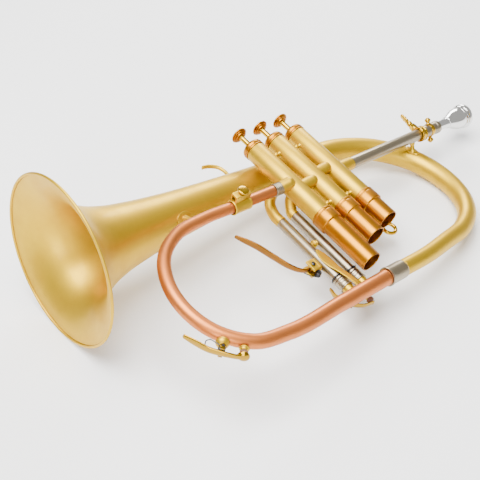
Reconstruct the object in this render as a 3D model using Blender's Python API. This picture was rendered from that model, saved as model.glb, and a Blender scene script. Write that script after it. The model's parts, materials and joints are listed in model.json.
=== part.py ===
"""A B-flat flugelhorn lying on its right side, as separate parts.

The horn is built in its own axes: X runs along the mouthpipe towards the player, Y along the valves
towards the finger buttons and Z towards the player's left. The middle valve's axis is at X = 0, Z = 0.
An empty then lays the whole horn down on its bell rim and its rear bow, on the plane Z = 0.
Run it with: blender --background --python part.py
"""

import bmesh
import bpy
import numpy as np
from mathutils import Matrix

MM = 0.001
GAP = 0.3                       # clearance between neighbouring solids; sizes are in millimetres

# Pose on the table
REST_UP = (-0.1473, 0.1864, 0.9714)
REST_FORWARD = (1.0, 0.0, 0.0)

# Valves
VALVE_X = {"1": 26.5, "2": 0.0, "3": -26.5}
CASING_R = 10.1
CASING_BORE = 9.35
CASING_TOP = 48.4
CASING_BOTTOM = -43.1
PORT_Y = -7.0
PISTON_R = 9.05
PISTON_BOTTOM = -26.0
PISTON_TOP = 44.0
STEM_R = 2.3
BUTTON_Y = 71.9
BUTTON_R = 8.2
CAP_R = 11.4
TOP_CAP_R = 10.6
TOP_CAP_END = 56.2
FELT_FLOOR = 51.6
BOTTOM_SEAM = -57.4
EXTENSION_R = 9.9
EXTENSION_END = {"1": -78.1, "2": -86.9, "3": -107.2}

# Bell and wrap
BELL_AXIS_Y = 38.0
BELL_AXIS_Z = -29.5
BELL_RIM_X = -243.8
BELL_RIM_R = 76.2
BELL_WALL = 0.9
BELL_TAIL_X = 6.0
LEAD_Y = -2.8
LEAD_Z = 4.0
LEG_Y = -124.8
LEG_Z = -3.0
FERRULE_FROM = -24.0
FERRULE_TO = -3.5

# Mouthpipe
PIPE_Y = -5.5
PIPE_FROM = 50.0
PIPE_TO = 150.0
PIPE_R = 5.7

# Third valve slide
SLIDE_X = (-51.3, -34.3)
SLIDE_Z = -17.5
SLIDE_LEG_R = 5.1
SLIDE_TOP = -22.9
SLIDE_END = -100.1
SLIDE_BOW_Y = -111.5

# First and second valve slides, behind the valves
BACK_SLIDES = {"1": ((24.0, 38.0), -20.0, -50.0), "2": ((-6.0, 8.0), -20.0, -42.0)}
PULL_RING = (41.0, -75.5)
BACK_LEG_R = 4.8

# Trigger and water keys
TRIGGER_PIVOT = (-64.0, -77.1)
KEY_A_ORIGIN = (-183.5, -109.5)
KEY_A_HINGE = (-9.0, 12.4, 0.0)     # along the bow, out from it and across it
LYRE_SCREW = (-89.0, -0.4)
KEY_B_HINGE = (-58.6, -122.4)
SPOUT_B_Y = -127.6

TUBE_SIDES = 12
VALVE_SIDES = 18
BELL_SIDES = 30
WALL = 0.8

BRASS = ("satin_brass", (0.80, 0.62, 0.31), 0.42, 1.0)
COPPER = ("satin_copper", (0.80, 0.47, 0.30), 0.42, 1.0)
GOLD = ("orange_gold", (0.83, 0.50, 0.07), 0.30, 1.0)
KEY_GOLD = ("bright_gold", (0.95, 0.68, 0.12), 0.15, 1.0)
NICKEL = ("brushed_nickel", (0.66, 0.60, 0.50), 0.38, 1.0)
SILVER = ("polished_silver", (0.88, 0.88, 0.88), 0.08, 1.0)
CORK = ("cork", (0.30, 0.14, 0.07), 0.85, 0.0)
FELT = ("felt", (0.86, 0.84, 0.78), 0.95, 0.0)
STEEL = ("spring_steel", (0.45, 0.45, 0.46), 0.30, 1.0)


def start_empty():
    for item in list(bpy.data.objects):
        bpy.data.objects.remove(item, do_unlink=True)


def material(spec):
    name, colour, roughness, metallic = spec
    found = bpy.data.materials.get(name)
    if found:
        return found
    made = bpy.data.materials.new(name)
    made.use_nodes = True
    shader = made.node_tree.nodes["Principled BSDF"]
    shader.inputs["Base Color"].default_value = (*colour, 1.0)
    shader.inputs["Roughness"].default_value = roughness
    shader.inputs["Metallic"].default_value = metallic
    return made


def rest_matrix():
    """Turns the horn's own axes into the table's, with REST_UP as the table's upward direction."""
    up = np.array(REST_UP) / np.linalg.norm(REST_UP)
    forward = np.array(REST_FORWARD) - np.dot(REST_FORWARD, up) * up
    forward /= np.linalg.norm(forward)
    side = np.cross(up, forward)
    return np.array([forward, side, up])


def smooth_path(points, steps):
    """Points read at even chord steps from a cubic curve through the given rows (x, y, z, radius)."""
    rows = np.array(points, float)
    chord = np.linalg.norm(np.diff(rows[:, :3], axis=0), axis=1)
    knots = np.concatenate([[0.0], np.cumsum(chord)])
    slopes = np.gradient(rows, knots, axis=0)
    where = np.linspace(0.0, knots[-1], steps)
    cell = np.clip(np.searchsorted(knots, where, side="right") - 1, 0, len(knots) - 2)
    span = (knots[cell + 1] - knots[cell])[:, None]
    t = ((where - knots[cell]) / span[:, 0])[:, None]
    start = (2 * t**3 - 3 * t**2 + 1) * rows[cell] + (t**3 - 2 * t**2 + t) * span * slopes[cell]
    end = (3 * t**2 - 2 * t**3) * rows[cell + 1] + (t**3 - t**2) * span * slopes[cell + 1]
    return start + end


def rings_along(rows, sides):
    """Circles of each row's radius, square to the path, with no twist from one to the next."""
    centres = rows[:, :3]
    along = np.gradient(centres, axis=0)
    along /= np.linalg.norm(along, axis=1)[:, None]
    seed = np.array([0.0, 0.0, 1.0]) if abs(along[0][2]) < 0.9 else np.array([0.0, 1.0, 0.0])
    angle = np.linspace(0.0, 2 * np.pi, sides, endpoint=False)
    rings = []
    for centre, tangent, radius in zip(centres, along, rows[:, 3]):
        seed = seed - np.dot(seed, tangent) * tangent
        seed /= np.linalg.norm(seed)
        other = np.cross(tangent, seed)
        spread = np.outer(np.cos(angle), seed) + np.outer(np.sin(angle), other)
        rings.append(centre + radius * spread)
    return np.array(rings)


def add_object(name, spec, vertices, faces):
    mesh = bpy.data.meshes.new(name)
    mesh.from_pydata([tuple(v) for v in np.asarray(vertices) * MM], [], faces)
    shape = bmesh.new()
    shape.from_mesh(mesh)
    bmesh.ops.recalc_face_normals(shape, faces=shape.faces)
    shape.to_mesh(mesh)
    shape.free()
    mesh.materials.append(material(spec))
    made = bpy.data.objects.new(name, mesh)
    bpy.context.collection.objects.link(made)
    return made


def skin(name, spec, rings, closed):
    """One closed surface through rings of points: a loop of rings, or a bar with flat ends."""
    count, sides = rings.shape[:2]
    vertices = rings.reshape(-1, 3)
    faces = []
    for ring in range(count if closed else count - 1):
        here = ring * sides
        there = ((ring + 1) % count) * sides
        for side in range(sides):
            after = (side + 1) % sides
            faces.append((here + side, here + after, there + after, there + side))
    if not closed:
        faces.append(tuple(range(sides)))
        faces.append(tuple(range((count - 1) * sides, count * sides)))
    return add_object(name, spec, vertices, faces)


def tube(name, spec, rows, wall=WALL, sides=TUBE_SIDES):
    """A hollow tube whose outer radius is each row's last value."""
    outer = np.asarray(rows, float)
    inner = outer.copy()
    inner[:, 3] -= wall
    rings = np.concatenate([rings_along(outer, sides), rings_along(inner, sides)[::-1]])
    return skin(name, spec, rings, True)


def bar(name, spec, rows, sides=TUBE_SIDES):
    """A solid round bar along the rows."""
    return skin(name, spec, rings_along(np.asarray(rows, float), sides), False)


def turned(name, spec, origin, axis, profile, sides=VALVE_SIDES, closed=True):
    """A lathe shape: profile rows are (radius, distance along the axis from the origin)."""
    axis = np.array(axis, float) / np.linalg.norm(axis)
    first = np.cross(axis, (0.0, 0.0, 1.0) if abs(axis[2]) < 0.9 else (1.0, 0.0, 0.0))
    first /= np.linalg.norm(first)
    second = np.cross(axis, first)
    angle = np.linspace(0.0, 2 * np.pi, sides, endpoint=False)
    spread = np.outer(np.cos(angle), first) + np.outer(np.sin(angle), second)
    rings = np.array([np.array(origin) + along * axis + radius * spread for radius, along in profile])
    return skin(name, spec, rings, closed)


def box(name, spec, low, high):
    corners = np.array([[x, y, z] for x in (low[0], high[0]) for y in (low[1], high[1])
                        for z in (low[2], high[2])], float)
    faces = [(0, 1, 3, 2), (4, 6, 7, 5), (0, 4, 5, 1), (2, 3, 7, 6), (0, 2, 6, 4), (1, 5, 7, 3)]
    return add_object(name, spec, corners, faces)


def strap(name, spec, centres, sideways, width, thickness):
    """A flat strap bent along its centres; sideways is the direction of its width."""
    rows = np.asarray(centres, float)
    wide = np.array(sideways, float) / np.linalg.norm(sideways)
    along = np.gradient(rows, axis=0)
    normal = np.cross(along, wide)
    normal /= np.linalg.norm(normal, axis=1)[:, None]
    half = np.broadcast_to(np.asarray(width, float) / 2, len(rows))[:, None] * wide
    lift = normal * thickness / 2
    rings = np.stack([rows - half - lift, rows + half - lift, rows + half + lift, rows - half + lift], 1)
    return skin(name, spec, rings, False)


def apply_boolean(target, tool, operation):
    step = target.modifiers.new(operation.lower(), "BOOLEAN")
    step.operation = operation
    step.solver = "EXACT"
    step.object = tool
    shown = target.evaluated_get(bpy.context.evaluated_depsgraph_get())
    fresh = bpy.data.meshes.new_from_object(shown)
    target.modifiers.clear()
    target.data = fresh


def join(target, *tools):
    for tool in tools:
        apply_boolean(target, tool, "UNION")
        bpy.data.objects.remove(tool, do_unlink=True)
    return target


def cut(target, *tools):
    for tool in tools:
        apply_boolean(target, tool, "DIFFERENCE")
        bpy.data.objects.remove(tool, do_unlink=True)
    return target


def casing_space(valve, radius=CASING_R + GAP):
    """A cylinder round one casing, for cutting what meets it."""
    centre = (VALVE_X[valve], 0.0, 0.0)
    return turned("space", BRASS, centre, (0, 1, 0), [(radius, -70.0), (radius, 70.0)], closed=False)


def line(start, end, radii):
    """Rows from start to end with the radii spread evenly along the way."""
    t = np.linspace(0.0, 1.0, len(radii))[:, None]
    places = (1 - t) * np.array(start, float) + t * np.array(end, float)
    return np.concatenate([places, np.array(radii, float)[:, None]], axis=1)


def bell_outline():
    """The flare behind the rim's bead: it narrows quickly and then slowly."""
    return [(64.5, 6.0), (53.0, 13.0), (43.5, 22.5), (36.5, 35.0), (31.0, 52.0), (26.6, 76.0),
            (22.6, 108.0), (19.2, 148.0), (16.2, 196.0), (13.4, BELL_TAIL_X - BELL_RIM_X)]


def bell():
    outer = bell_outline()
    bead = [(73.2, 0.0), (75.2, 0.0), (BELL_RIM_R, 1.3), (75.2, 2.6), (73.6, 2.4)]
    inner = [(radius - BELL_WALL, along) for radius, along in reversed(outer)]
    profile = bead + outer + inner + [(72.4, 1.2)]
    origin = (BELL_RIM_X, BELL_AXIS_Y, BELL_AXIS_Z)
    return turned("bell", BRASS, origin, (1, 0, 0), profile, sides=BELL_SIDES)


def bell_space():
    """The bell's filled outline, a gap larger, for cutting what stands on it."""
    profile = [(radius + GAP, along) for radius, along in bell_outline()]
    return turned("space", BRASS, (BELL_RIM_X, BELL_AXIS_Y, BELL_AXIS_Z), (1, 0, 0), profile, BELL_SIDES, False)


def rear_bow_rows():
    points = [(FERRULE_TO + GAP, LEG_Y, LEG_Z, 7.8), (30.0, -124.4, -3.6, 8.0), (64.0, -120.6, -5.2, 8.3),
              (95.5, -115.6, -8.0, 8.7), (122.0, -102.0, -11.5, 9.3), (141.0, -78.5, -16.0, 10.0),
              (148.3, -48.0, -20.0, 10.6), (143.2, -15.3, -24.0, 11.1), (120.0, 16.4, -27.0, 11.6),
              (85.0, 35.0, -28.8, 12.0), (45.5, 39.8, -29.4, 12.4),
              (BELL_TAIL_X + 8.0, BELL_AXIS_Y, BELL_AXIS_Z, 13.1)]
    tail = [BELL_TAIL_X + GAP, BELL_AXIS_Y, BELL_AXIS_Z, 13.3]
    return np.concatenate([smooth_path(points, 26), [tail]])


def front_bow_rows():
    """The copper lead, its long oval turn and the lower leg."""
    points = [(-51.0, LEAD_Y, LEAD_Z, 5.3), (-92.0, LEAD_Y + 0.4, LEAD_Z, 5.4), (-130.0, -0.8, 3.2, 5.6),
              (-159.0, -3.6, 2.2, 5.8), (-183.5, -18.6, 0.8, 6.0), (-197.5, -44.0, -0.4, 6.1),
              (-200.0, -72.0, -1.3, 6.2), (-191.5, -98.5, -2.0, 6.3), (-171.0, -118.8, -2.6, 6.5),
              (-140.5, -125.5, LEG_Z, 6.8), (-80.0, -125.7, LEG_Z, 7.1),
              (FERRULE_FROM - GAP, LEG_Y, LEG_Z, 7.5)]
    return smooth_path(points, 28)


def space_round(rows):
    """A filled bow, a gap larger, for cutting what stands on it."""
    return bar("space", BRASS, rows + np.array([0.0, 0.0, 0.0, GAP]))


def ferrule(name, start, end, radius, bore):
    """A nickel sleeve with a raised bead at its copper end."""
    length = end[0] - start[0]
    bead = 0.5
    profile = [(bore, 0.0), (radius + bead, 0.0), (radius + bead, 1.8), (radius, 2.4),
               (radius, length), (bore, length)]
    return turned(name, NICKEL, start, (1, 0, 0), profile)


def wrap_ferrules():
    ferrule("lower_ferrule", (FERRULE_FROM, LEG_Y, LEG_Z), (FERRULE_TO, LEG_Y, LEG_Z), 8.3, 6.7)
    ferrule("upper_ferrule", (-50.7, LEAD_Y, LEAD_Z), (-41.6, LEAD_Y, LEAD_Z), 5.8, 4.5)


def knuckle(start, end, bulge):
    """A short barrel-shaped tube between two places."""
    return bar("knuckle", BRASS, line(start, end, [bulge - 1.2, bulge - 0.3, bulge, bulge - 0.3, bulge - 1.2]))


def casing(valve):
    x = VALVE_X[valve]
    body = turned(f"casing_{valve}", BRASS, (x, 0, 0), (0, 1, 0),
                  [(CASING_R, CASING_BOTTOM), (CASING_R, CASING_TOP)], closed=False)
    if valve == "1":
        join(body, bar("port", BRASS, line((x + 5, PIPE_Y, 0), (PIPE_FROM - GAP, PIPE_Y, 0), [6.4, 6.4, 6.2])))
    if valve == "3":
        join(body, bar("port", BRASS, line((x - 5, LEAD_Y, LEAD_Z), (-41.3, LEAD_Y, LEAD_Z), [6.0, 6.0, 6.0])))
    if valve == "2":
        for side, port_y in ((-1, PORT_Y), (1, PORT_Y + 5)):
            join(body, knuckle((side * 6, port_y, 3.0), (side * 20.5, port_y, 3.0), 6.4))
            for brace_y in (-36.0, 35.0):
                reach = line((side * 6, brace_y, 0.6), (side * 20.5, brace_y, 0.6), [2.0, 2.0])
                join(body, bar("brace", BRASS, reach, 8))
        cut(body, casing_space("1"), casing_space("3"))
    cut(body, turned("bore", BRASS, (x, 0, 0), (0, 1, 0), [(CASING_BORE, -60), (CASING_BORE, 60)], closed=False))
    return body


def top_cap(valve):
    under = FELT_FLOOR - 1.6
    profile = [(TOP_CAP_R, CASING_TOP + GAP), (TOP_CAP_R, 53.6), (TOP_CAP_R - 1.0, 55.0), (6.6, TOP_CAP_END),
               (5.7, TOP_CAP_END), (5.7, FELT_FLOOR), (2.7, FELT_FLOOR), (2.7, under), (9.2, under),
               (9.2, CASING_TOP + GAP)]
    return turned(f"top_cap_{valve}", GOLD, (VALVE_X[valve], 0, 0), (0, 1, 0), profile)


def bottom_cap(valve):
    """A wide threaded collar, a shelf for the spring and an open tube below it."""
    end = EXTENSION_END[valve]
    top = CASING_BOTTOM - GAP
    profile = [(9.3, top), (CAP_R, top), (CAP_R, BOTTOM_SEAM + 0.6), (EXTENSION_R, BOTTOM_SEAM),
               (EXTENSION_R, end), (EXTENSION_R - 1, end), (EXTENSION_R - 1, BOTTOM_SEAM - 1.5),
               (3.2, BOTTOM_SEAM - 1.5), (3.2, BOTTOM_SEAM), (9.3, BOTTOM_SEAM)]
    return turned(f"bottom_cap_{valve}", GOLD, (VALVE_X[valve], 0, 0), (0, 1, 0), profile)


def piston(valve):
    inner = PISTON_R - 0.8
    profile = [(PISTON_R, PISTON_BOTTOM), (PISTON_R, PISTON_TOP), (1.2, PISTON_TOP), (1.2, PISTON_TOP - 1.5),
               (inner, PISTON_TOP - 1.5), (inner, PISTON_BOTTOM)]
    return turned(f"piston_{valve}", NICKEL, (VALVE_X[valve], 0, 0), (0, 1, 0), profile)


def button(valve):
    """The stem, the ring under the finger disc and the disc with its domed top, as one turned piece."""
    profile = [(STEM_R, PISTON_TOP + GAP), (STEM_R, 70.4), (5.2, 70.4), (5.2, BUTTON_Y), (BUTTON_R - 0.4, BUTTON_Y),
               (BUTTON_R, BUTTON_Y + 0.8), (BUTTON_R - 0.3, BUTTON_Y + 2.2), (5.6, BUTTON_Y + 2.6),
               (2.6, BUTTON_Y + 2.2)]
    return turned(f"button_{valve}", GOLD, (VALVE_X[valve], 0, 0), (0, 1, 0), profile, sides=18, closed=False)


def felt(valve):
    floor = FELT_FLOOR + GAP
    profile = [(5.3, floor), (5.3, floor + 1.2), (2.9, floor + 1.2), (2.9, floor)]
    return turned(f"felt_{valve}", FELT, (VALVE_X[valve], 0, 0), (0, 1, 0), profile, sides=16)


def valve_spring(valve):
    turns = 4
    steps = turns * 8 + 1
    angle = np.linspace(0.0, 2 * np.pi * turns, steps)
    height = np.linspace(BOTTOM_SEAM + 1.0, PISTON_BOTTOM - 1.0, steps)
    rows = np.stack([VALVE_X[valve] + 6.4 * np.cos(angle), height, 6.4 * np.sin(angle),
                     np.full(steps, 0.55)], axis=1)
    return bar(f"valve_spring_{valve}", STEEL, rows, sides=4)


def mouthpipe():
    rows = line((PIPE_FROM, PIPE_Y, 0), (PIPE_TO, PIPE_Y, 0), [PIPE_R] * 2)
    return tube("mouthpipe", NICKEL, rows, sides=16)


def clamp_ring():
    """The clamp at the mouthpipe's end, with the threaded ear for the wing screw above it."""
    start = (PIPE_TO + GAP, PIPE_Y, 0)
    body = turned("clamp_ring", GOLD, start, (1, 0, 0), [(8.0, 0), (8.6, 1), (8.6, 6), (8.0, 7)], closed=False)
    ear = bar("ear", GOLD, line((153.8, 0.0, 0), (154.6, 8.5, 0), [3.0, 3.0]), sides=10)
    join(body, ear)
    bore = turned("bore", GOLD, start, (1, 0, 0), [(4.9, -1), (4.9, 9)], closed=False, sides=18)
    return cut(body, bore)


def wing_screw():
    """A thumb screw with a flat wing, in the clamp's ear."""
    body = bar("wing_screw", GOLD, line((154.8, 8.9, 0), (155.3, 14.0, 0), [2.4, 2.4]), sides=10)
    wing = strap("wing", GOLD, [(155.2, 13.0, 0), (155.8, 18.0, 0), (156.6, 25.0, 0)], (0.3, 0, 1),
                 [4.0, 6.4, 4.6], 1.8)
    return join(body, wing)


def receiver():
    """The sliding tuning tube that takes the mouthpiece, with its cross bar and two ball ends."""
    profile = [(4.5, -28.0), (4.5, 0.0), (6.2, 0.0), (6.2, 8.0), (6.9, 8.4), (6.9, 12.0), (6.2, 12.4),
               (6.2, 23.0), (5.2, 23.0), (5.2, 3.0), (3.8, 3.0), (3.8, -28.0)]
    body = turned("receiver", NICKEL, (158.0, PIPE_Y, 0), (1, 0, 0), profile)
    for side in (-1, 1):
        start = (168.0, PIPE_Y + side * 3.7, side * 4.9)
        end = (168.0, PIPE_Y + side * 7.8, side * 10.0)
        join(body, bar("finial", NICKEL, line(start, end, [1.4, 1.5, 2.8, 1.6]), sides=8))
    return body


def mouthpiece():
    """A deep cup with a narrow throat, and the tapered shank that stands in the receiver."""
    outer = [(4.2, -18.0), (4.8, 1.0), (5.0, 14.0), (6.6, 19.0), (9.8, 25.5), (11.4, 32.0), (11.6, 38.5), (12.7, 41.0),
             (12.7, 44.5), (11.0, 46.0)]
    inner = [(8.6, 45.2), (7.8, 40.0), (6.4, 31.0), (2.3, 21.0), (2.3, 12.0), (3.4, -18.0)]
    return turned("mouthpiece", SILVER, (181.0, PIPE_Y, 0), (1, 0, 0), outer + inner, sides=18)


def mouthpipe_stay():
    """The post from the mouthpipe's end down to an oval foot on the rear bow."""
    top = np.array([142.5, -7.6, -7.0])
    foot = np.array([141.0, -12.0, -12.2])
    body = bar("mouthpipe_stay", BRASS, line(top, foot, [1.9, 1.7, 2.2]), sides=10)
    plate = turned("plate", BRASS, foot, foot - top, [(5.2, 0.0), (5.2, 3.0)], sides=14, closed=False)
    return cut(join(body, plate), space_round(rear_bow_rows()))


def bell_stay():
    """The post between the copper lead and the bell, with an oval flange on the bell."""
    lead = np.array([-129.0, LEAD_Y, 2.2])
    centre = np.array([-129.0, BELL_AXIS_Y, BELL_AXIS_Z])
    way = (centre - lead) / np.linalg.norm(centre - lead)
    reach = np.linalg.norm(centre - lead)
    start = lead + way * 5.0
    flange = lead + way * (reach - 22.2)
    body = bar("bell_stay", BRASS, line(start, flange, [2.4, 1.8, 1.8, 2.2]), sides=10)
    plate = turned("plate", BRASS, flange, way, [(6.2, -2.0), (6.4, 1.2)], sides=14, closed=False)
    return cut(join(body, plate), bell_space(), space_round(front_bow_rows()))


def finger_hook():
    points = [(-46.0, 53.0, BELL_AXIS_Z, 2.4), (-45.0, 61.0, BELL_AXIS_Z, 1.9), (-47.0, 69.0, BELL_AXIS_Z, 1.9),
              (-54.0, 74.5, BELL_AXIS_Z, 1.9), (-62.0, 76.5, BELL_AXIS_Z, 2.1)]
    return cut(bar("finger_hook", BRASS, smooth_path(points, 11), sides=10), bell_space())


def lyre_box():
    """A brass sleeve on the lead with a square socket for the music holder on its left."""
    place = (-100.0, LEAD_Y + 0.4, LEAD_Z)
    body = turned("lyre_box", BRASS, place, (1, 0, 0), [(6.8, 0), (6.8, 19)], 16, False)
    join(body, box("socket", BRASS, (-98.5, -4.2, 9.0), (-82.0, 3.4, 16.6)))
    cut(body, turned("bore", BRASS, place, (1, 0, 0), [(6.0, -1), (6.0, 20)], 16, False))
    cut(body, box("slot", BRASS, (-99.0, -2.3, 10.9), (-81.0, 1.5, 14.7)))
    return body


def lyre_screw():
    """The round-headed screw that grips the music holder's stem."""
    profile = [(2.4, 0.0), (2.4, 1.2), (4.9, 1.4), (5.1, 2.4), (4.3, 3.2)]
    return turned("lyre_screw", KEY_GOLD, (*LYRE_SCREW, 16.6 + GAP), (0, 0, 1), profile, 16, False)


def slide_elbow(name, x, points):
    path = [(x, SLIDE_TOP + GAP, SLIDE_Z, 5.3)] + points
    return cut(tube(name, BRASS, smooth_path(path, 9)), casing_space("3"))


def third_slide_ports():
    """Two brass elbows from the third casing and the nickel outer legs below them."""
    far, near = SLIDE_X
    slide_elbow("slide_3_elbow_a", far, [(far, -14.0, SLIDE_Z, 5.3), (far + 3.0, -3.0, -15.4, 5.2),
                                         (far + 11.0, 5.0, -13.8, 5.2), (-31.0, 8.6, -10.0, 5.2)])
    slide_elbow("slide_3_elbow_b", near, [(near, -19.0, SLIDE_Z, 5.3), (near + 1.4, -14.0, -14.6, 5.2),
                                          (-30.0, -9.0, -9.5, 5.2)])
    for letter, x in zip("ab", SLIDE_X):
        bead = [(SLIDE_LEG_R + 0.9, 0.0), (SLIDE_LEG_R + 0.9, 2.0), (SLIDE_LEG_R, 2.6), (SLIDE_LEG_R, 77.2)]
        inner = SLIDE_LEG_R - 0.7
        turned(f"slide_3_leg_{letter}", NICKEL, (x, SLIDE_END, SLIDE_Z), (0, 1, 0),
               bead + [(inner, 77.2), (inner, 0.0)], sides=16)


def slide_stay():
    """The short stay with a ball collar that holds the two outer legs apart."""
    far, near = SLIDE_X
    clear = SLIDE_LEG_R + GAP
    rows = line((far + clear, -57.0, SLIDE_Z), (near - clear, -57.0, SLIDE_Z), [2.0, 2.0, 3.4, 3.4, 2.0, 2.0])
    return bar("slide_stay", BRASS, rows, sides=10)


def strip_brace():
    """The fan-shaped foot on the far outer leg and the flat strip that ties it to the lower leg."""
    path = [(-50.3, -67.0, -11.4), (-50.9, -76.0, -11.4), (-50.6, -85.0, -11.0), (-49.4, -97.0, -10.0),
            (-47.4, -108.0, -9.0), (-46.4, -119.6, -8.4)]
    return strap("strip_brace", BRASS, path, (1, 0.1, 0), [4.0, 8.0, 9.0, 6.6, 6.2, 7.0], 1.2)


def third_slide():
    """The moving slide: two inner legs with ferrules and the bow below them, in one piece."""
    far, near = SLIDE_X
    middle = (far + near) / 2
    radius = (near - far) / 2
    bow = []
    for angle in np.linspace(0.0, np.pi, 8):
        bow.append((middle - radius * np.cos(angle), SLIDE_BOW_Y - radius * np.sin(angle), SLIDE_Z, 5.0))
    legs_top = -40.0
    path = [(far, SLIDE_END - 3.0, SLIDE_Z, 5.0)] + bow + [(near, SLIDE_END - 3.0, SLIDE_Z, 5.0)]
    body = bar("slide_3", BRASS, path, sides=TUBE_SIDES)
    for x in SLIDE_X:
        join(body, bar("inner", NICKEL, line((x, SLIDE_END - 4.0, SLIDE_Z), (x, legs_top, SLIDE_Z), [4.0, 4.0]), 14))
        ring = [(6.3, -9.0), (6.3, -7.6), (5.6, -7.0), (5.6, -2.4), (6.0, -2.0), (6.0, -GAP)]
        join(body, turned("ferrule", NICKEL, (x, SLIDE_END, SLIDE_Z), (0, 1, 0), ring, 14, False))
    spout = line((middle, SLIDE_BOW_Y - radius - 3.0, SLIDE_Z), (middle, SPOUT_B_Y, SLIDE_Z), [2.6, 2.6])
    join(body, bar("spout", BRASS, spout, 10))
    post = line((middle - 7.2, SLIDE_BOW_Y - 5.0, SLIDE_Z), (*KEY_B_HINGE, SLIDE_Z), [2.4, 1.6])
    join(body, bar("post", BRASS, post, 10))
    barrel = turned("barrel", BRASS, (*KEY_B_HINGE, SLIDE_Z), (0, 0, 1), [(1.8, -3.6), (1.8, 3.6)], 10, False)
    return join(body, barrel)


def back_slide_ports(valve):
    """The fixed outer legs of a slide behind its valve, tied together by a cross plate."""
    legs, z, end = BACK_SLIDES[valve]
    x = VALVE_X[valve]
    body = None
    for leg in legs:
        rows = smooth_path([(x + (leg - x) * 0.25, -14.0, -4.0, 4.8), (x + (leg - x) * 0.8, -16.0, -12.0, BACK_LEG_R),
                            (leg, -24.0, z, BACK_LEG_R), (leg, end * 0.8, z, BACK_LEG_R),
                            (leg, end, z, BACK_LEG_R)], 9)
        piece = bar(f"slide_{valve}_legs", NICKEL, rows, 10)
        body = join(body, piece) if body else piece
    plate = bar("stay", NICKEL, line((legs[0], -40.0, z), (legs[1], -40.0, z), [1.8, 2.4, 1.8]), 10)
    join(body, plate)
    cut(body, casing_space(valve))
    for leg in legs:
        cut(body, turned("bore", NICKEL, (leg, end, z), (0, 1, 0), [(4.1, -1), (4.1, 24.0)], 10, False))
    return body


def back_slide(valve):
    """The moving bow of a back slide, with its two inner legs."""
    legs, z, end = BACK_SLIDES[valve]
    middle = (legs[0] + legs[1]) / 2
    radius = (legs[1] - legs[0]) / 2
    path = [(legs[0], end - GAP, z, 4.8)]
    for angle in np.linspace(0.0, np.pi, 7):
        path.append((middle - radius * np.cos(angle), end - 4.0 - radius * np.sin(angle), z, 4.8))
    path.append((legs[1], end - GAP, z, 4.8))
    body = bar(f"slide_{valve}", BRASS, path)
    for leg in legs:
        join(body, bar("inner", NICKEL, line((leg, end - 2.0, z), (leg, end + 20.0, z), [3.5, 3.5]), 10))
    return body


def slide_ring():
    """The pull ring and the short neck that holds it under the first slide's bow."""
    legs, z, end = BACK_SLIDES["1"]
    bow = np.array([sum(legs) / 2, end - 4.0, z])
    centre = np.array([*PULL_RING, z])
    way = (centre - bow) / np.linalg.norm(centre - bow)
    profile = [(6.6 + 1.4 * np.cos(a), 1.4 * np.sin(a)) for a in np.arange(6) * np.pi / 3]
    ring = turned("slide_ring", KEY_GOLD, centre, (0, 0, 1), profile, 16)
    start = bow + way * ((legs[1] - legs[0]) / 2 + 4.8 + GAP)
    return join(ring, bar("neck", KEY_GOLD, line(start, centre - way * 6.9, [2.0, 1.3]), 8))


def trigger_saddle():
    """The square block on the outer leg that carries the trigger's pin."""
    body = box("trigger_saddle", BRASS, (-67.6, -83.2, -23.6), (-58.0, -71.2, -12.6))
    slot = box("slot", BRASS, (-70.0, -80.6, -21.0), (-60.4, -73.6, -15.2))
    return cut(body, slot)


def trigger_lever():
    """The S-shaped finger lever, with the eye that turns on the saddle's pin."""
    pivot = (*TRIGGER_PIVOT, -18.1)
    path = smooth_path([(*pivot, 1), (-71.5, -77.2, -17.2, 1), (-82.0, -70.5, -14.4, 1),
                        (-91.0, -55.0, -11.6, 1), (-98.5, -38.5, -9.6, 1), (-109.0, -22.0, -8.0, 1)], 14)
    width = np.interp(np.arange(14), [0, 2, 5, 9, 13], [4.4, 4.6, 6.6, 6.4, 5.0])
    body = strap("trigger_lever", GOLD, path[:, :3], (0, 0, 1), width, 1.6)
    return join(body, turned("eye", GOLD, pivot, (0, 0, 1), [(2.4, -2.6), (2.4, 2.6)], 12, False))


def key_a_place(along, out, across):
    """A place near water key A: along the front bow, out from its centre line and across it."""
    way = np.array([0.705, -0.709, 0.0])
    outward = np.array([-0.709, -0.705, 0.0])
    return np.array([*KEY_A_ORIGIN, -2.2]) + along * way + out * outward + np.array([0.0, 0.0, across])


def key_a_saddle():
    """The post, its hinge barrel and, further along the bow, the spout that the cork closes."""
    body = bar("key_a_saddle", BRASS, line(key_a_place(-9, 7.0, 0), key_a_place(-9, 11.6, 0), [2.8, 2.2]), 10)
    barrel = turned("barrel", BRASS, key_a_place(*KEY_A_HINGE), (0, 0, 1), [(1.8, -4.0), (1.8, 4.0)], 10, False)
    return join(body, barrel)


def key_a_spout():
    return bar("key_a_spout", BRASS, line(key_a_place(8, 7.2, 0), key_a_place(8, 9.6, 0), [3.4, 2.8]), 12)


def key_lever(name, path, sideways_width, hinge, cheek_out):
    """A finger strap that runs over its hinge barrel, with a cheek at each end of the barrel."""
    body = strap(name, KEY_GOLD, path, (0, 0, 1), sideways_width, 1.4)
    for side in (-1, 1):
        disc = [(2.2, side * cheek_out), (2.2, side * (cheek_out + 1.2))]
        join(body, turned("cheek", KEY_GOLD, hinge, (0, 0, 1), disc, 10, False))
        foot = np.array(path[3]) * 0.6 + np.array(hinge) * 0.4
        foot[2] = hinge[2] + side * (cheek_out + 0.6)
        join(body, box("web", KEY_GOLD, foot - (1.6, 1.6, 0.6), foot + (1.6, 1.6, 0.6)))
    return body


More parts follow.
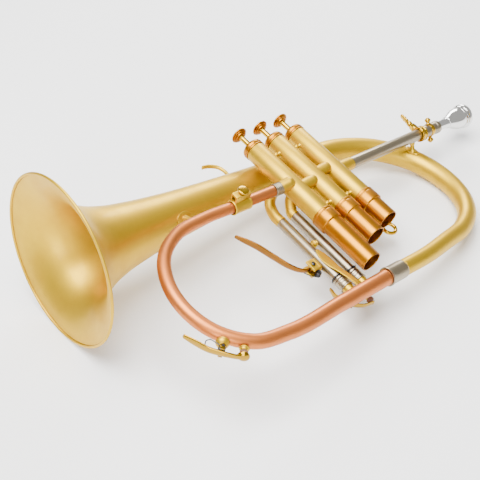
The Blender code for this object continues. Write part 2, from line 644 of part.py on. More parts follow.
def key_a_lever():
    path = [key_a_place(-39, 7.0, 0), key_a_place(-30, 8.2, 0), key_a_place(-19, 14.0, 0),
            key_a_place(-9, 15.6, 0), key_a_place(0, 15.4, 0), key_a_place(9.5, 14.4, 0)]
    return key_lever("key_a_lever", path, [5.0, 6.4, 6.4, 10.8, 6.0, 5.0], key_a_place(*KEY_A_HINGE), 4.3)


def key_a_cork():
    return bar("key_a_cork", CORK, line(key_a_place(8, 10.0, 0), key_a_place(8, 13.4, 0), [3.4, 3.4]), 12)


def key_b_lever():
    x, y = KEY_B_HINGE
    path = [(x - 7.6, y + 20.0, SLIDE_Z), (x - 9.0, y + 11.0, SLIDE_Z), (x - 6.4, y + 3.4, SLIDE_Z),
            (x - 2.6, y - 2.4, SLIDE_Z), (x + 5.0, y - 8.0, SLIDE_Z), (x + 17.0, y - 10.6, SLIDE_Z)]
    return key_lever("key_b_lever", path, [4.4, 6.0, 6.0, 10.0, 5.6, 5.0], (x, y, SLIDE_Z), 3.9)


def key_b_cork():
    middle = sum(SLIDE_X) / 2
    return bar("key_b_cork", CORK, line((middle, SPOUT_B_Y - GAP, SLIDE_Z), (middle, SPOUT_B_Y - 3.2, SLIDE_Z), [3.2, 3.2]), 12)


def joint_origins():
    """A place on each moving piece's joint axis, in the horn's own axes."""
    places = {"receiver": (PIPE_TO, PIPE_Y, 0), "mouthpiece": (PIPE_TO, PIPE_Y, 0),
              "wing_screw": (154.8, 8.9, 0), "lyre_screw": (*LYRE_SCREW, 0),
              "trigger_lever": (*TRIGGER_PIVOT, SLIDE_Z), "slide_3": (sum(SLIDE_X) / 2, SLIDE_END, SLIDE_Z)}
    for name in ("key_a_lever", "key_a_cork"):
        places[name] = key_a_place(*KEY_A_HINGE)
    for name in ("key_b_lever", "key_b_cork"):
        places[name] = (*KEY_B_HINGE, SLIDE_Z)
    for valve, x in VALVE_X.items():
        places[f"piston_{valve}"] = places[f"button_{valve}"] = (x, 0, 0)
        places[f"valve_spring_{valve}"] = (x, BOTTOM_SEAM, 0)
    for valve, (legs, z, end) in BACK_SLIDES.items():
        places[f"slide_{valve}"] = (sum(legs) / 2, end, z)
    places["slide_ring"] = places["slide_1"]
    return places


def place_on_table(holder):
    """Parent every piece to the holder and lay the whole down, centred on the table's origin."""
    turn = rest_matrix()
    corners = []
    origins = joint_origins()
    for item in [item for item in bpy.data.objects if item is not holder]:
        points = np.array([vertex.co for vertex in item.data.vertices]) @ turn.T
        corners += [points.min(axis=0), points.max(axis=0)]
        place = [value * MM for value in origins.get(item.name, (0, 0, 0))]
        item.data.transform(Matrix.Translation(place).inverted())
        item.location = place
        item.parent = holder
        item.data.shade_smooth()
        item.data.set_sharp_from_angle(angle=np.radians(35.0))
    low, high = np.min(corners, axis=0), np.max(corners, axis=0)
    matrix = Matrix(turn.tolist()).to_4x4()
    matrix.translation = [-(low[0] + high[0]) / 2, -(low[1] + high[1]) / 2, -low[2]]
    holder.matrix_world = matrix


def main():
    start_empty()
    bell()
    tube("rear_bow", BRASS, rear_bow_rows(), wall=BELL_WALL)
    tube("front_bow", COPPER, front_bow_rows())
    wrap_ferrules()
    for valve in VALVE_X:
        casing(valve)
        top_cap(valve)
        bottom_cap(valve)
        piston(valve)
        button(valve)
        felt(valve)
        valve_spring(valve)
    mouthpipe()
    clamp_ring()
    wing_screw()
    receiver()
    mouthpiece()
    mouthpipe_stay()
    bell_stay()
    finger_hook()
    lyre_box()
    lyre_screw()
    third_slide_ports()
    slide_stay()
    strip_brace()
    third_slide()
    for valve in BACK_SLIDES:
        back_slide_ports(valve)
        back_slide(valve)
    slide_ring()
    trigger_saddle()
    trigger_lever()
    key_a_saddle()
    key_a_spout()
    key_a_lever()
    key_a_cork()
    key_b_lever()
    key_b_cork()
    holder = bpy.data.objects.new("rest_pose", None)
    bpy.context.collection.objects.link(holder)
    place_on_table(holder)


main()
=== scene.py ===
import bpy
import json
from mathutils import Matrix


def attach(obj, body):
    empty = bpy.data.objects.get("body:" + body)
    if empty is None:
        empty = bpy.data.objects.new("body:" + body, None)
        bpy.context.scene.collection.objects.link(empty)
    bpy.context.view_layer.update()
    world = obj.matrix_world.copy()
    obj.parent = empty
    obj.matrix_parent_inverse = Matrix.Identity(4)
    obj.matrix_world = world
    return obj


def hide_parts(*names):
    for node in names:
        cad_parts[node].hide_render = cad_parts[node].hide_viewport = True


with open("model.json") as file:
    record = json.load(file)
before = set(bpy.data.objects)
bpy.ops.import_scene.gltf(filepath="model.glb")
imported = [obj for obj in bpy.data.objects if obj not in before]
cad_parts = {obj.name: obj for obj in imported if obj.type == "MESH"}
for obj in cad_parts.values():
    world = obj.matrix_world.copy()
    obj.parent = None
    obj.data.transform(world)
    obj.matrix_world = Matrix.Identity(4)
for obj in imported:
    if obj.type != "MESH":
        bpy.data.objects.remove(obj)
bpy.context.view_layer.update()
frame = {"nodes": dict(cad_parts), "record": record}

"""A flugelhorn lying on its right side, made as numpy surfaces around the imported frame.

Places are given in the horn's own axes, in millimetres: X along the mouthpipe to the player, Y along
the valves to the finger buttons, Z to the player's left, with the middle valve's axis at X = 0, Z = 0.
on_table() turns them into the frame's metres.
"""

import json

import bmesh
import bpy
import numpy as np
from bpy.props import FloatProperty, FloatVectorProperty, IntProperty, PointerProperty
from mathutils import Matrix

bl_info = {
    "name": "Flugelhorn",
    "version": (1, 0, 0),
    "blender": (4, 5, 0),
    "location": "View3D > Sidebar > Flugelhorn",
    "description": "Builds a flugelhorn from turned and swept surfaces",
    "category": "Add Mesh",
}

MM = 0.001
JOINTS = {joint["name"]: joint for joint in frame["record"]["behaviour"]["joints"]}

VALVE_X = {"1": 26.5, "2": 0.0, "3": -26.5}
CASING_R = 10.1
CASING_TOP = 48.4
CASING_BOTTOM = -43.1
CAP_TUBE_END = {"1": -78.1, "2": -86.9, "3": -107.2}
BELL_AXIS = (38.0, -29.5)
BELL_RIM_X = -243.8
BELL_TAIL_X = 6.0
BELL_WALL = 0.9
LEAD_Y = -2.8
LEAD_Z = 4.0
LEG_Y = -124.8
LEG_Z = -3.0
FERRULE_FROM = -24.0
FERRULE_TO = -3.5
PIPE_Y = -5.5
PIPE_R = 5.7
SLIDE_X = (-51.3, -34.3)
SLIDE_Z = -17.5
SLIDE_LEG_R = 5.1
SLIDE_TOP = -22.9
SLIDE_END = -100.1
SLIDE_BOW_Y = -111.5
BACK_SLIDES = {"1": ((24.0, 38.0), -20.0, -50.0), "2": ((-6.0, 8.0), -20.0, -42.0)}
PULL_RING = (41.0, -75.5)
WRAP_INSET = 0.3                  # keeps the round tubes inside the box of the frame's flat-sided ones
STEM_SIDES = 48
MOUTHPIECE_X = 181.0
MERGE_DISTANCE = 1e-6             # metres
SHARP_ANGLE = 35.0                # degrees
BEND_SHARE = 0.45                 # the most of an edge that a softened corner takes
DOME_STEPS = 18
COIL_STEPS = 20                   # rows to each turn of wire
WIRE = 0.45                       # radius of the springs' wire
TRIGGER_PIVOT = (-64.0, -77.1, SLIDE_Z)
KEY_A_ORIGIN = (-183.5, -109.5, -2.2)
KEY_A_HINGE = (-9.0, 12.4)
KEY_B_HINGE = (-58.6, -122.4)
SPOUT_B_Y = -127.6
LYRE_SCREW = (-89.0, -0.4)

TURN = np.array([
    JOINTS["tuning_slide"]["axis"], [-v for v in JOINTS["valve_1_press"]["axis"]],
    JOINTS["lyre_screw_turn"]["axis"]])
TABLE_ORIGIN = np.array(JOINTS["trigger_swing"]["pos_m"]) - MM * np.array(TRIGGER_PIVOT) @ TURN


def on_table(points):
    """The frame's metres for places in the horn's own axes."""
    return TABLE_ORIGIN + MM * np.asarray(points, float) @ TURN


# ---------------------------------------------------------------- shapes

def unit(vectors):
    """The vectors, each divided by its length."""
    vectors = np.array(vectors, float)
    return vectors / np.linalg.norm(vectors, axis=-1, keepdims=True)


def once_round(sides):
    """Evenly spread angles, once round."""
    return np.linspace(0.0, 2 * np.pi, sides, endpoint=False)


def squared_circle(t, power):
    """|cos t|^p and |sin t|^p, signed by quadrant."""
    return [np.sign(part) * np.abs(part) ** power for part in (np.cos(t), np.sin(t))]


def smooth_path(points, steps):
    """Rows read evenly from a cubic Hermite curve through the given rows, parametrised by chord length."""
    rows = np.array(points, float)
    chord = np.linalg.norm(np.diff(rows[:, :3], axis=0), axis=1)
    knots = np.concatenate([[0.0], np.cumsum(chord)])
    slopes = np.gradient(rows, knots, axis=0)
    where = np.linspace(0.0, knots[-1], steps)
    cell = np.clip(np.searchsorted(knots, where, side="right") - 1, 0, len(knots) - 2)
    span = (knots[cell + 1] - knots[cell])[:, None]
    t = ((where - knots[cell]) / span[:, 0])[:, None]
    start = (2 * t**3 - 3 * t**2 + 1) * rows[cell] + (t**3 - 2 * t**2 + t) * span * slopes[cell]
    end = (3 * t**2 - 2 * t**3) * rows[cell + 1] + (t**3 - t**2) * span * slopes[cell + 1]
    return start + end


def smooth_outline(points, steps):
    """The same curve through the radii and heights of an outline."""
    return smooth_path(np.pad(np.array(points, float), ((0, 0), (0, 2))), steps)[:, :2]


def soften(profile, reach, loop):
    """Each corner of the outline becomes a short quadratic curve that starts and ends within reach of it."""
    here = np.array(profile, float)
    before = np.roll(here, 1, axis=0)
    after = np.roll(here, -1, axis=0)
    back = before - here
    ahead = after - here
    back *= np.minimum(BEND_SHARE, reach / np.maximum(np.linalg.norm(back, axis=1), 1e-6))[:, None]
    ahead *= np.minimum(BEND_SHARE, reach / np.maximum(np.linalg.norm(ahead, axis=1), 1e-6))[:, None]
    bend = np.stack([here + back, here + (back + ahead) / 4, here + ahead], axis=1)
    if loop:
        return bend.reshape(-1, 2)
    return np.concatenate([here[:1], bend[1:-1].reshape(-1, 2), here[-1:]])


def lathe(origin, axis, profile, sides=96, reach=0.25, loop=False):
    """p = origin + h·a + r·(cos t·b + sin t·c), for (r, h) on the softened outline and t once round."""
    outline = soften(profile, reach, loop) if reach else np.array(profile, float)
    a = unit(axis)
    b = unit(np.cross(a, (0.0, 0.0, 1.0) if abs(a[2]) < 0.9 else (1.0, 0.0, 0.0)))
    c = np.cross(a, b)
    t = once_round(sides)
    round_it = np.outer(np.cos(t), b) + np.outer(np.sin(t), c)
    grid = np.array(origin) + outline[:, 1, None, None] * a + outline[:, 0, None, None] * round_it
    return np.concatenate([grid, grid[:1]]) if loop else grid


def sweep(rows, sides=40, across=(0.0, 0.0, 1.0), corner=2.0, edge=0.3):
    """p = centre + a·|cos t|^(2/n)·side + b·|sin t|^(2/n)·up, signed by quadrant, along the rows.

    A row is x, y, z, a and b, or x, y, z, r for a round bar; n is corner, and the ends are closed with
    a small chamfer of the edge's size."""
    rows = np.asarray(rows, float)
    if rows.shape[1] == 4:
        rows = np.concatenate([rows, rows[:, 3:]], axis=1)
    along = unit(np.gradient(rows[:, :3], axis=0))
    side = unit(np.cross(along, across))
    up = np.cross(side, along)
    rows, side, up = [np.pad(part, ((2, 2), (0, 0)), mode="edge") for part in (rows, side, up)]
    rows[2, :3] += edge * along[0]
    rows[-3, :3] -= edge * along[-1]
    rows[[0, -1], 3:] = 0.0
    rows[[1, -2], 3:] -= np.minimum(edge, rows[[1, -2], 3:] * 0.6)
    wide, high = squared_circle(once_round(sides), 2 / corner)
    return (
        rows[:, None, :3] + (rows[:, 3, None] * wide)[..., None] * side[:, None]
        + (rows[:, 4, None] * high)[..., None] * up[:, None])


def rod(start, end, radii, sides=40, edge=0.3, corner=2.0, across=None):
    """A straight sweep whose radii are spread evenly along the way."""
    t = np.linspace(0.0, 1.0, len(radii))[:, None]
    centres = (1 - t) * np.array(start, float) + t * np.array(end, float)
    sizes = np.array(radii, float)
    sizes = sizes[:, None] if sizes.ndim == 1 else sizes
    way = np.array(end, float) - np.array(start, float)
    if across is None:
        across = (0.0, 0.0, 1.0) if abs(way[2]) < 0.8 * np.linalg.norm(way) else (1.0, 0.0, 0.0)
    return sweep(np.concatenate([centres, sizes], axis=1), sides, across, corner, edge)


def domed(start, end, radius, sides=48):
    """A straight tube from the start whose far end closes as a quarter-circle dome: at s before the end
    its radius is r·sqrt(1 - (1 - s/r)²)."""
    way = np.array(end, float) - np.array(start, float)
    length = np.linalg.norm(way)
    turn = np.linspace(0.0, 0.97, DOME_STEPS) * np.pi / 2
    straight = length - radius
    places = np.concatenate([np.linspace(0.0, straight, 6)[:-1], straight + radius * np.sin(turn)])
    radii = np.concatenate([np.full(5, radius), radius * np.cos(turn)])
    centres = np.array(start) + np.outer(places / length, way)
    return sweep(np.concatenate([centres, radii[:, None]], axis=1), sides, edge=0.02)


def coil(centre, axis, radius, wire, turns, pitch, sides=8):
    """A helix: the wire's centre turns at the radius about the axis and climbs by the pitch each turn."""
    a = unit(axis)
    b = unit(np.cross(a, (1.0, 0.0, 0.0) if abs(a[0]) < 0.9 else (0.0, 1.0, 0.0)))
    c = np.cross(a, b)
    t = np.linspace(0.0, 2 * np.pi * turns, int(turns * COIL_STEPS) + 1)
    climb = pitch * (t / (2 * np.pi) - turns / 2)
    round_it = np.outer(np.cos(t), b) + np.outer(np.sin(t), c)
    centres = np.array(centre) + np.outer(climb, a) + radius * round_it
    rows = np.concatenate([centres, np.full((len(t), 1), wire)], axis=1)
    return sweep(rows, sides, a + 0.01 * b, 2.0, 0.05)


def saddle_disc(rows, centre, way, lengthwise, half_long, half_wide, thick):
    """An oval plate bent over a tube: each point of a flat oval moves out from the tube's centre line to
    the tube's radius plus the plate's height there."""
    way = unit(way)
    first = unit(lengthwise - np.dot(lengthwise, way) * way)
    second = np.cross(way, first)
    spread = np.array([0.0, 0.5, 0.9, 1.0, 1.0, 0.97, 0.9, 0.6, 0.3, 0.0])
    height = np.array([0.1, 0.1, 0.1, 0.1, 0.5 * thick, 0.85 * thick, thick, thick, thick, thick])
    t = once_round(56)
    oval = half_long * np.cos(t)[:, None] * first + half_wide * np.sin(t)[:, None] * second
    flat = spread[:, None, None] * oval + np.array(centre, float)
    gap = np.linalg.norm(flat[:, :, None, :] - rows[None, None, :, :3], axis=3)
    closest = gap.argmin(axis=2)
    nearest = rows[closest]
    out = flat - nearest[..., :3]
    tangent = unit(np.gradient(rows[:, :3], axis=0))[closest]
    out -= (out * tangent).sum(axis=2)[..., None] * tangent
    return flat - out + unit(out) * (nearest[..., 3] + height[:, None])[..., None]


def piece(name, grids, replaces=None, finish="satin_brass", body="horn"):
    """One object from one or more closed grids, riding on a body and standing for a CAD node."""
    vertices, faces, flow = [], [], []
    first = 0
    for grid in grids:
        rows, columns = grid.shape[:2]
        wrapped = np.concatenate([grid, grid[:, :1]], axis=1)
        length = np.linalg.norm(np.diff(wrapped, axis=0), axis=2).mean(axis=1)
        girth = np.linalg.norm(np.diff(wrapped, axis=1), axis=2).sum(axis=1).mean()
        along = np.concatenate([[0.0], np.cumsum(length)]) * MM
        round_it = np.linspace(0.0, girth, columns + 1) * MM
        flow.append(np.stack(np.meshgrid(along, round_it, indexing="ij"), axis=2).reshape(-1, 2))
        vertices.append(on_table(wrapped.reshape(-1, 3)))
        i, j = np.meshgrid(np.arange(rows - 1), np.arange(columns), indexing="ij")
        corner = first + (i * (columns + 1) + j).ravel()
        faces.append(np.stack([corner, corner + 1, corner + columns + 2, corner + columns + 1], axis=1))
        first += rows * (columns + 1)
    vertices, faces, flow = np.concatenate(vertices), np.concatenate(faces), np.concatenate(flow)
    mesh = bpy.data.meshes.new(name)
    mesh.from_pydata(vertices, [], faces)
    mesh.uv_layers.new(name="flow").data.foreach_set("uv", flow[faces.ravel()].astype(np.float32).ravel())
    shape = bmesh.new()
    shape.from_mesh(mesh)
    bmesh.ops.remove_doubles(shape, verts=shape.verts, dist=MERGE_DISTANCE)
    bmesh.ops.recalc_face_normals(shape, faces=shape.faces)
    shape.to_mesh(mesh)
    shape.free()
    mesh.shade_smooth()
    mesh.set_sharp_from_angle(angle=np.radians(SHARP_ANGLE))
    made = bpy.data.objects.new(name, mesh)
    bpy.context.scene.collection.objects.link(made)
    mesh.materials.append(look(finish))
    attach(made, body)
    if replaces:
        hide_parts(replaces)
    return made


# ---------------------------------------------------------------- looks

class Link:
    """A socket that arithmetic can be written on; each operation adds one Math node."""

    def __init__(self, tree, socket):
        self.tree = tree
        self.socket = socket

    def maths(self, operation, *others):
        """A Math node of that operation on the given sockets or numbers."""
        node = self.tree.nodes.new("ShaderNodeMath")
        node.operation = operation
        for slot, value in zip(node.inputs, others):
            feed(self.tree, slot, value)
        return Link(self.tree, node.outputs[0])

    def __add__(self, other):
        return self.maths("ADD", self, other)

    __radd__ = __add__

    def __mul__(self, other):
        return self.maths("MULTIPLY", self, other)

    __rmul__ = __mul__

    def __sub__(self, other):
        return self.maths("SUBTRACT", self, other)

    def __rsub__(self, other):
        return self.maths("SUBTRACT", other, self)


def feed(tree, slot, value):
    """Links a socket to a slot, or sets the slot to a number, a vector or a colour."""
    if isinstance(value, Link):
        tree.links.new(value.socket, slot)
    elif isinstance(value, tuple) and len(value) == 3 and slot.type == "RGBA":
        slot.default_value = (*value, 1.0)
    else:
        slot.default_value = value


class Look:
    """One procedural material: a Principled shader and the nodes that feed it."""

    def __init__(self, name):
        self.material = bpy.data.materials.new(name)
        self.material.use_nodes = True
        self.tree = self.material.node_tree
        self.shader = self.tree.nodes["Principled BSDF"]

    def node(self, kind, output=0, settings=None, **inputs):
        """Any node: its settings first, then its sockets by name, with _ for a space."""
        node = self.tree.nodes.new(kind)
        for key, value in (settings or {}).items():
            setattr(node, key, value)
        for key, value in inputs.items():
            feed(self.tree, node.inputs[key.replace("_", " ")], value)
        return Link(self.tree, node.outputs[output])

    def noise(self, place, scale, detail=3.0, roughness=0.5):
        return self.node(
            "ShaderNodeTexNoise", 0, None, Vector=place, Scale=scale, Detail=detail, Roughness=roughness)

    def scaled(self, place, x, y, z=1.0):
        return self.node("ShaderNodeMapping", 0, None, Vector=place, Scale=(x, y, z))

    def blend(self, amount, first, second):
        node = self.tree.nodes.new("ShaderNodeMix")
        node.data_type = "RGBA"
        feed(self.tree, node.inputs["Factor"], amount)
        feed(self.tree, node.inputs[6], first)
        feed(self.tree, node.inputs[7], second)
        return Link(self.tree, node.outputs[2])

    def ramp(self, value, low, high):
        return self.node("ShaderNodeMapRange", 0, {"clamp": True}, Value=value, From_Min=low, From_Max=high)

    def set(self, **values):
        for key, value in values.items():
            feed(self.tree, self.shader.inputs[key.replace("_", " ")], value)


def shaded(colour, factor):
    """The colour times a factor for each channel, held to 1."""
    return tuple(float(min(1.0, channel * part)) for channel, part in zip(colour, factor))


def metal(name, colour, roughness, grain, depth, patina, coat):
    """A lacquered metal: fine brushing round the tube, clouds of duller lacquer and small specks.

    grain is the brushed lines' share of the roughness, depth their bump in metres, patina how far the
    colour goes to its darker shade."""
    made = Look(name)
    flow = made.node("ShaderNodeUVMap", 0, {"uv_map": "flow"})
    place = made.node("ShaderNodeTexCoord", 3)
    clouds = made.noise(place, 38.0, 4.0, 0.6)
    fine = made.noise(place, 900.0, 2.0, 0.6)
    lines = made.noise(made.scaled(flow, 5200.0, 110.0), 1.0, 2.0, 0.6)
    cross = made.noise(made.scaled(flow, 500.0, 2600.0), 1.0, 2.0, 0.5)
    brushed = lines * 0.7 + cross * 0.3
    dull = made.ramp(clouds, 0.42, 0.68)
    speck = made.ramp(fine, 0.66, 0.74)
    deep = shaded(colour, (0.80, 0.72, 0.58))
    light = shaded(colour, (1.06, 1.04, 1.02))
    tone = made.blend(dull * patina, colour, deep)
    tone = made.blend(made.ramp(brushed, 0.4, 0.7) * 0.35, tone, light)
    tone = made.blend(speck * (patina * 0.5), tone, deep)
    bump = made.node("ShaderNodeBump", 0, None, Height=brushed, Distance=depth, Strength=0.6)
    made.set(
        Base_Color=tone, Metallic=1.0, Normal=bump, Coat_Roughness=0.12, Roughness=(brushed - 0.5) * grain
        + dull * 0.05 + roughness)
    made.shader.inputs["Coat Weight"].default_value = coat
    return made.material


def plain_metal(name, colour, roughness):
    """Metal on carried CAD nodes, which have no map of their own: fine grain on the object's coordinates."""
    made = Look(name)
    place = made.node("ShaderNodeTexCoord", 3)
    grain = made.noise(made.scaled(place, 300.0, 2600.0, 2600.0), 1.0, 3.0, 0.6)
    tone = made.blend(grain * 0.5, colour, shaded(colour, (0.75, 0.72, 0.68)))
    bump = made.node("ShaderNodeBump", 0, None, Height=grain, Distance=0.00002, Strength=0.5)
    made.set(Base_Color=tone, Metallic=1.0, Normal=bump, Roughness=grain * 0.12 + roughness)
    return made.material


def cork_look(name, colour):
    """Cork: small cells and grain, with darker grains."""
    made = Look(name)
    place = made.node("ShaderNodeTexCoord", 3)
    cells = made.node("ShaderNodeTexVoronoi", 0, None, Vector=place, Scale=1500.0)
    grain = made.noise(place, 2600.0, 4.0, 0.7)
    bump = made.node("ShaderNodeBump", 0, None, Height=cells + grain, Distance=0.0001, Strength=0.8)
    made.set(
        Base_Color=made.blend(grain, colour, shaded(colour, (0.45, 0.4, 0.35))), Normal=bump, Roughness=0.9)
    return made.material


def felt_look(name, colour):
    """Felt: fine fibres, fully rough."""
    made = Look(name)
    place = made.node("ShaderNodeTexCoord", 3)
    fibres = made.noise(place, 3200.0, 5.0, 0.8)
    bump = made.node("ShaderNodeBump", 0, None, Height=fibres, Distance=0.0002, Strength=1.0)
    made.set(
        Base_Color=made.blend(fibres, colour, shaded(colour, (0.7, 0.68, 0.62))), Normal=bump,
        Roughness=0.97)
    return made.material


# A finish's colour, roughness, share of brushed lines, depth of their bump in metres, patina and coat.
METALS = {
    "satin_brass": ("brass", 0.46, 0.14, 0.000014, 0.45, 0.10),
    "satin_copper": ("copper", 0.44, 0.14, 0.000014, 0.40, 0.10),
    "orange_gold": ("cap_gold", 0.34, 0.12, 0.000004, 0.30, 0.12),
    "bright_gold": ("key_gold", 0.15, 0.06, 0.000004, 0.25, 0.3),
    # The trigger lever's finish is the caps' orange gold made darker and a little more orange: painted shade
    # that stands in for less of the key light reflecting on the lever.
    "amber_lacquer": ("amber", 0.20, 0.05, 0.000004, 0.20, 0.3),
    "yellow_gold": ("lever_gold", 0.14, 0.05, 0.000004, 0.20, 0.3),
    "brushed_nickel": ("nickel", 0.33, 0.26, 0.00002, 0.50, 0.1),
    "polished_silver": ("silver", 0.07, 0.03, 0.000002, 0.12, 0.0),
}
STEEL = (0.07, 0.07, 0.075)
PISTON_METAL = (0.62, 0.60, 0.56)
FELT = (0.86, 0.84, 0.78)


def look(finish):
    """The named finish, made once from the scene's colours."""
    name = "finish_" + finish
    colours = bpy.context.scene.flugelhorn_colours
    if name in bpy.data.materials:
        return bpy.data.materials[name]
    if finish in METALS:
        colour, *recipe = METALS[finish]
        return metal(name, tuple(getattr(colours, colour)), *recipe)
    if finish == "cork":
        return cork_look(name, tuple(colours.cork))
    if finish == "felt":
        return felt_look(name, FELT)
    return plain_metal(name, STEEL, 0.25)


# ---------------------------------------------------------------- bell and wrap

def bell_outline():
    """The bell's outer radii and their distances from the rim, from the flare to the tail."""
    return np.array([
        (64.5, 6.0), (53.0, 13.0), (43.5, 22.5), (36.5, 35.0), (31.0, 52.0), (26.6, 76.0), (22.6, 108.0),
        (19.2, 148.0), (16.2, 196.0), (13.4, BELL_TAIL_X - BELL_RIM_X)])


def bell_rows():
    """The bell as rows of centre and radius, for what stands on it."""
    outline = bell_outline()
    along = np.linspace(6.0, outline[-1, 1], 400)
    radius = np.interp(along, outline[:, 1], outline[:, 0])
    y, z = np.full(400, BELL_AXIS[0]), np.full(400, BELL_AXIS[1])
    return np.stack([BELL_RIM_X + along, y, z, radius], axis=1)


def bell_profile(rim_radius):
    """Outer curve, bead and inner curve as one outline, read from a smooth curve through a few sizes."""
    knots = np.concatenate([[(rim_radius - 2.4, 2.6)], bell_outline()])
    outer = smooth_outline(knots, 150)
    slope = unit(np.gradient(outer, axis=0))
    inner = outer + BELL_WALL * np.stack([-slope[:, 1], slope[:, 0]], axis=1)
    t = np.linspace(0.7, -1.25, 24) * np.pi
    bead = np.stack([rim_radius - 1.3 + 1.3 * np.cos(t), 1.32 + 1.3 * np.sin(t)], axis=1)
    return np.concatenate([outer[::-1], bead, inner])


def rear_rows(steps):
    """The brass branch from the lower ferrule round to the bell's tail."""
    points = [
        (FERRULE_TO + 0.3, LEG_Y, LEG_Z, 7.8), (30.0, -124.4, -3.6, 8.0), (64.0, -120.6, -5.2, 8.3),
        (95.5, -115.6, -8.0, 8.7), (122.0, -102.0, -11.5, 9.3), (141.0, -78.5, -16.0, 10.0),
        (148.3, -48.0, -20.0, 10.6), (143.2, -15.3, -24.0, 11.1), (120.0, 16.4, -27.0, 11.6),
        (85.0, 35.0, -28.8, 12.0), (45.5, 39.8, -29.4, 12.4),
        (BELL_TAIL_X + 8.0, BELL_AXIS[0], BELL_AXIS[1], 13.1)]
    tail = [BELL_TAIL_X + 0.3, BELL_AXIS[0], BELL_AXIS[1], 13.3]
    return np.concatenate([smooth_path(points, steps), [tail]])


def front_rows(steps):
    """The copper branch from the upper ferrule round to the lower one."""
    points = [
        (-51.0, LEAD_Y, LEAD_Z, 5.3), (-92.0, LEAD_Y + 0.4, LEAD_Z, 5.4), (-130.0, -0.8, 3.2, 5.6),
        (-159.0, -3.6, 2.2, 5.8), (-183.5, -18.6, 0.8, 6.0), (-197.5, -44.0, -0.4, 6.1),
        (-200.0, -72.0, -1.3, 6.2), (-191.5, -98.5, -2.0, 6.3), (-171.0, -118.8, -2.6, 6.5),
        (-140.5, -125.5, LEG_Z, 6.8), (-80.0, -125.7, LEG_Z, 7.1), (FERRULE_FROM - 0.3, LEG_Y, LEG_Z, 7.5)]
    return smooth_path(points, steps)


def ridged(radius, length, ridges, height, bore):
    """A sleeve's outline with evenly spread raised ridges."""
    pitch = length / ridges
    rows = [(bore, 0.0)]
    for ridge in range(ridges):
        start = ridge * pitch
        rows += [
            (radius, start + 0.1), (radius + height, start + 0.25 * pitch),
            (radius + height, start + 0.65 * pitch), (radius, start + 0.9 * pitch)]
    return rows + [(bore, length)]


class FlugelhornSizes(bpy.types.PropertyGroup):
    """Sizes that change the look without moving what the frame fixes."""

    bell_rim: FloatProperty(
        name="Bell rim radius", description="Outer radius of the rolled rim", default=0.0759, unit="LENGTH")
    tube_sides: IntProperty(name="Tube sides", description="Points round a bent tube", default=56)
    turned_sides: IntProperty(name="Turned sides", description="Points round a turned piece", default=96)


def tint(name, description, *default):
    """A colour property."""
    return FloatVectorProperty(name=name, description=description, subtype="COLOR", default=default)


class FlugelhornColours(bpy.types.PropertyGroup):
    """The colours of the horn's finishes."""

    brass: tint("Brass", "Satin lacquered brass", 0.61, 0.385, 0.010)
    copper: tint("Copper", "Satin rose copper", 0.56, 0.178, 0.043)
    cap_gold: tint("Cap gold", "Orange gold of caps and buttons", 0.43, 0.168, 0.0001)
    key_gold: tint("Key gold", "Polished gold of screws and stems", 0.52, 0.30, 0.0006)
    nickel: tint("Nickel", "Brushed nickel silver", 0.31, 0.26, 0.18)
    # The trigger lever's colour is the cap gold darkened, not a different lacquer: painted shade.
    amber: tint("Amber", "Dark orange lacquer of the trigger's lever", 0.20, 0.074, 0.0001)
    lever_gold: tint("Lever gold", "Yellow gold of the water keys' levers", 0.36, 0.20, 0.0004)
    silver: tint("Silver", "Polished silver plate", 0.78, 0.78, 0.77)
    cork: tint("Cork", "Cork of the water keys", 0.24, 0.11, 0.06)


class MakeBell(bpy.types.Operator):
    """The flared bell with its rolled rim."""

    bl_idname = "flugelhorn.bell"
    bl_label = "Bell"

    def execute(self, context):
        sizes = context.scene.flugelhorn_sizes
        profile = bell_profile(sizes.bell_rim / MM)
        origin = (BELL_RIM_X, *BELL_AXIS)
        grid = lathe(origin, (1, 0, 0), profile, 160, 0, loop=True)
        piece("bell_flare", [grid], "bell")
        tail = [(12.9, -2.6), (13.9, -2.2), (14.2, -1.2), (14.2, 1.2), (13.9, 2.2), (13.0, 2.6)]
        ring = lathe((BELL_TAIL_X, *BELL_AXIS), (1, 0, 0), tail, 96, 0.2, loop=True)
        piece("bell_tail_ring", [ring])
        return {"FINISHED"}


class MakeWrap(bpy.types.Operator):
    """The brass rear branch, the copper front branch and the nickel ferrules."""

    bl_idname = "flugelhorn.wrap"
    bl_label = "Wrap"

    def execute(self, context):
        sides = context.scene.flugelhorn_sizes.tube_sides
        inset = (0.0, 0.0, 0.0, WRAP_INSET)
        piece("rear_branch", [sweep(rear_rows(200) - inset, sides)], "rear_bow")
        piece("copper_branch", [sweep(front_rows(260) - inset, sides)], "front_bow", "satin_copper")
        length = FERRULE_TO - FERRULE_FROM
        lower = [
            (7.0, 0.0), (8.7, 0.0), (8.7, 1.7), (8.3, 2.2), (8.25, length - 1.4), (8.0, length),
            (7.0, length)]
        grid = lathe((FERRULE_FROM, LEG_Y, LEG_Z), (1, 0, 0), lower, reach=0.3, loop=True)
        piece("lower_ferrule_sleeve", [grid], "lower_ferrule", "brushed_nickel")
        upper = ridged(5.6, 9.1, 5, 0.32, 4.6)
        grid = lathe((-50.7, LEAD_Y, LEAD_Z), (1, 0, 0), upper, reach=0.3, loop=True)
        piece("upper_ferrule_sleeve", [grid], "upper_ferrule", "brushed_nickel")
        return {"FINISHED"}


# ---------------------------------------------------------------- valves

def on_valve(valve, profile, sides=96, reach=0.25, loop=True):
    """The outline turned about a valve's axis."""
    return lathe((VALVE_X[valve], 0, 0), (0, 1, 0), profile, sides, reach, loop)


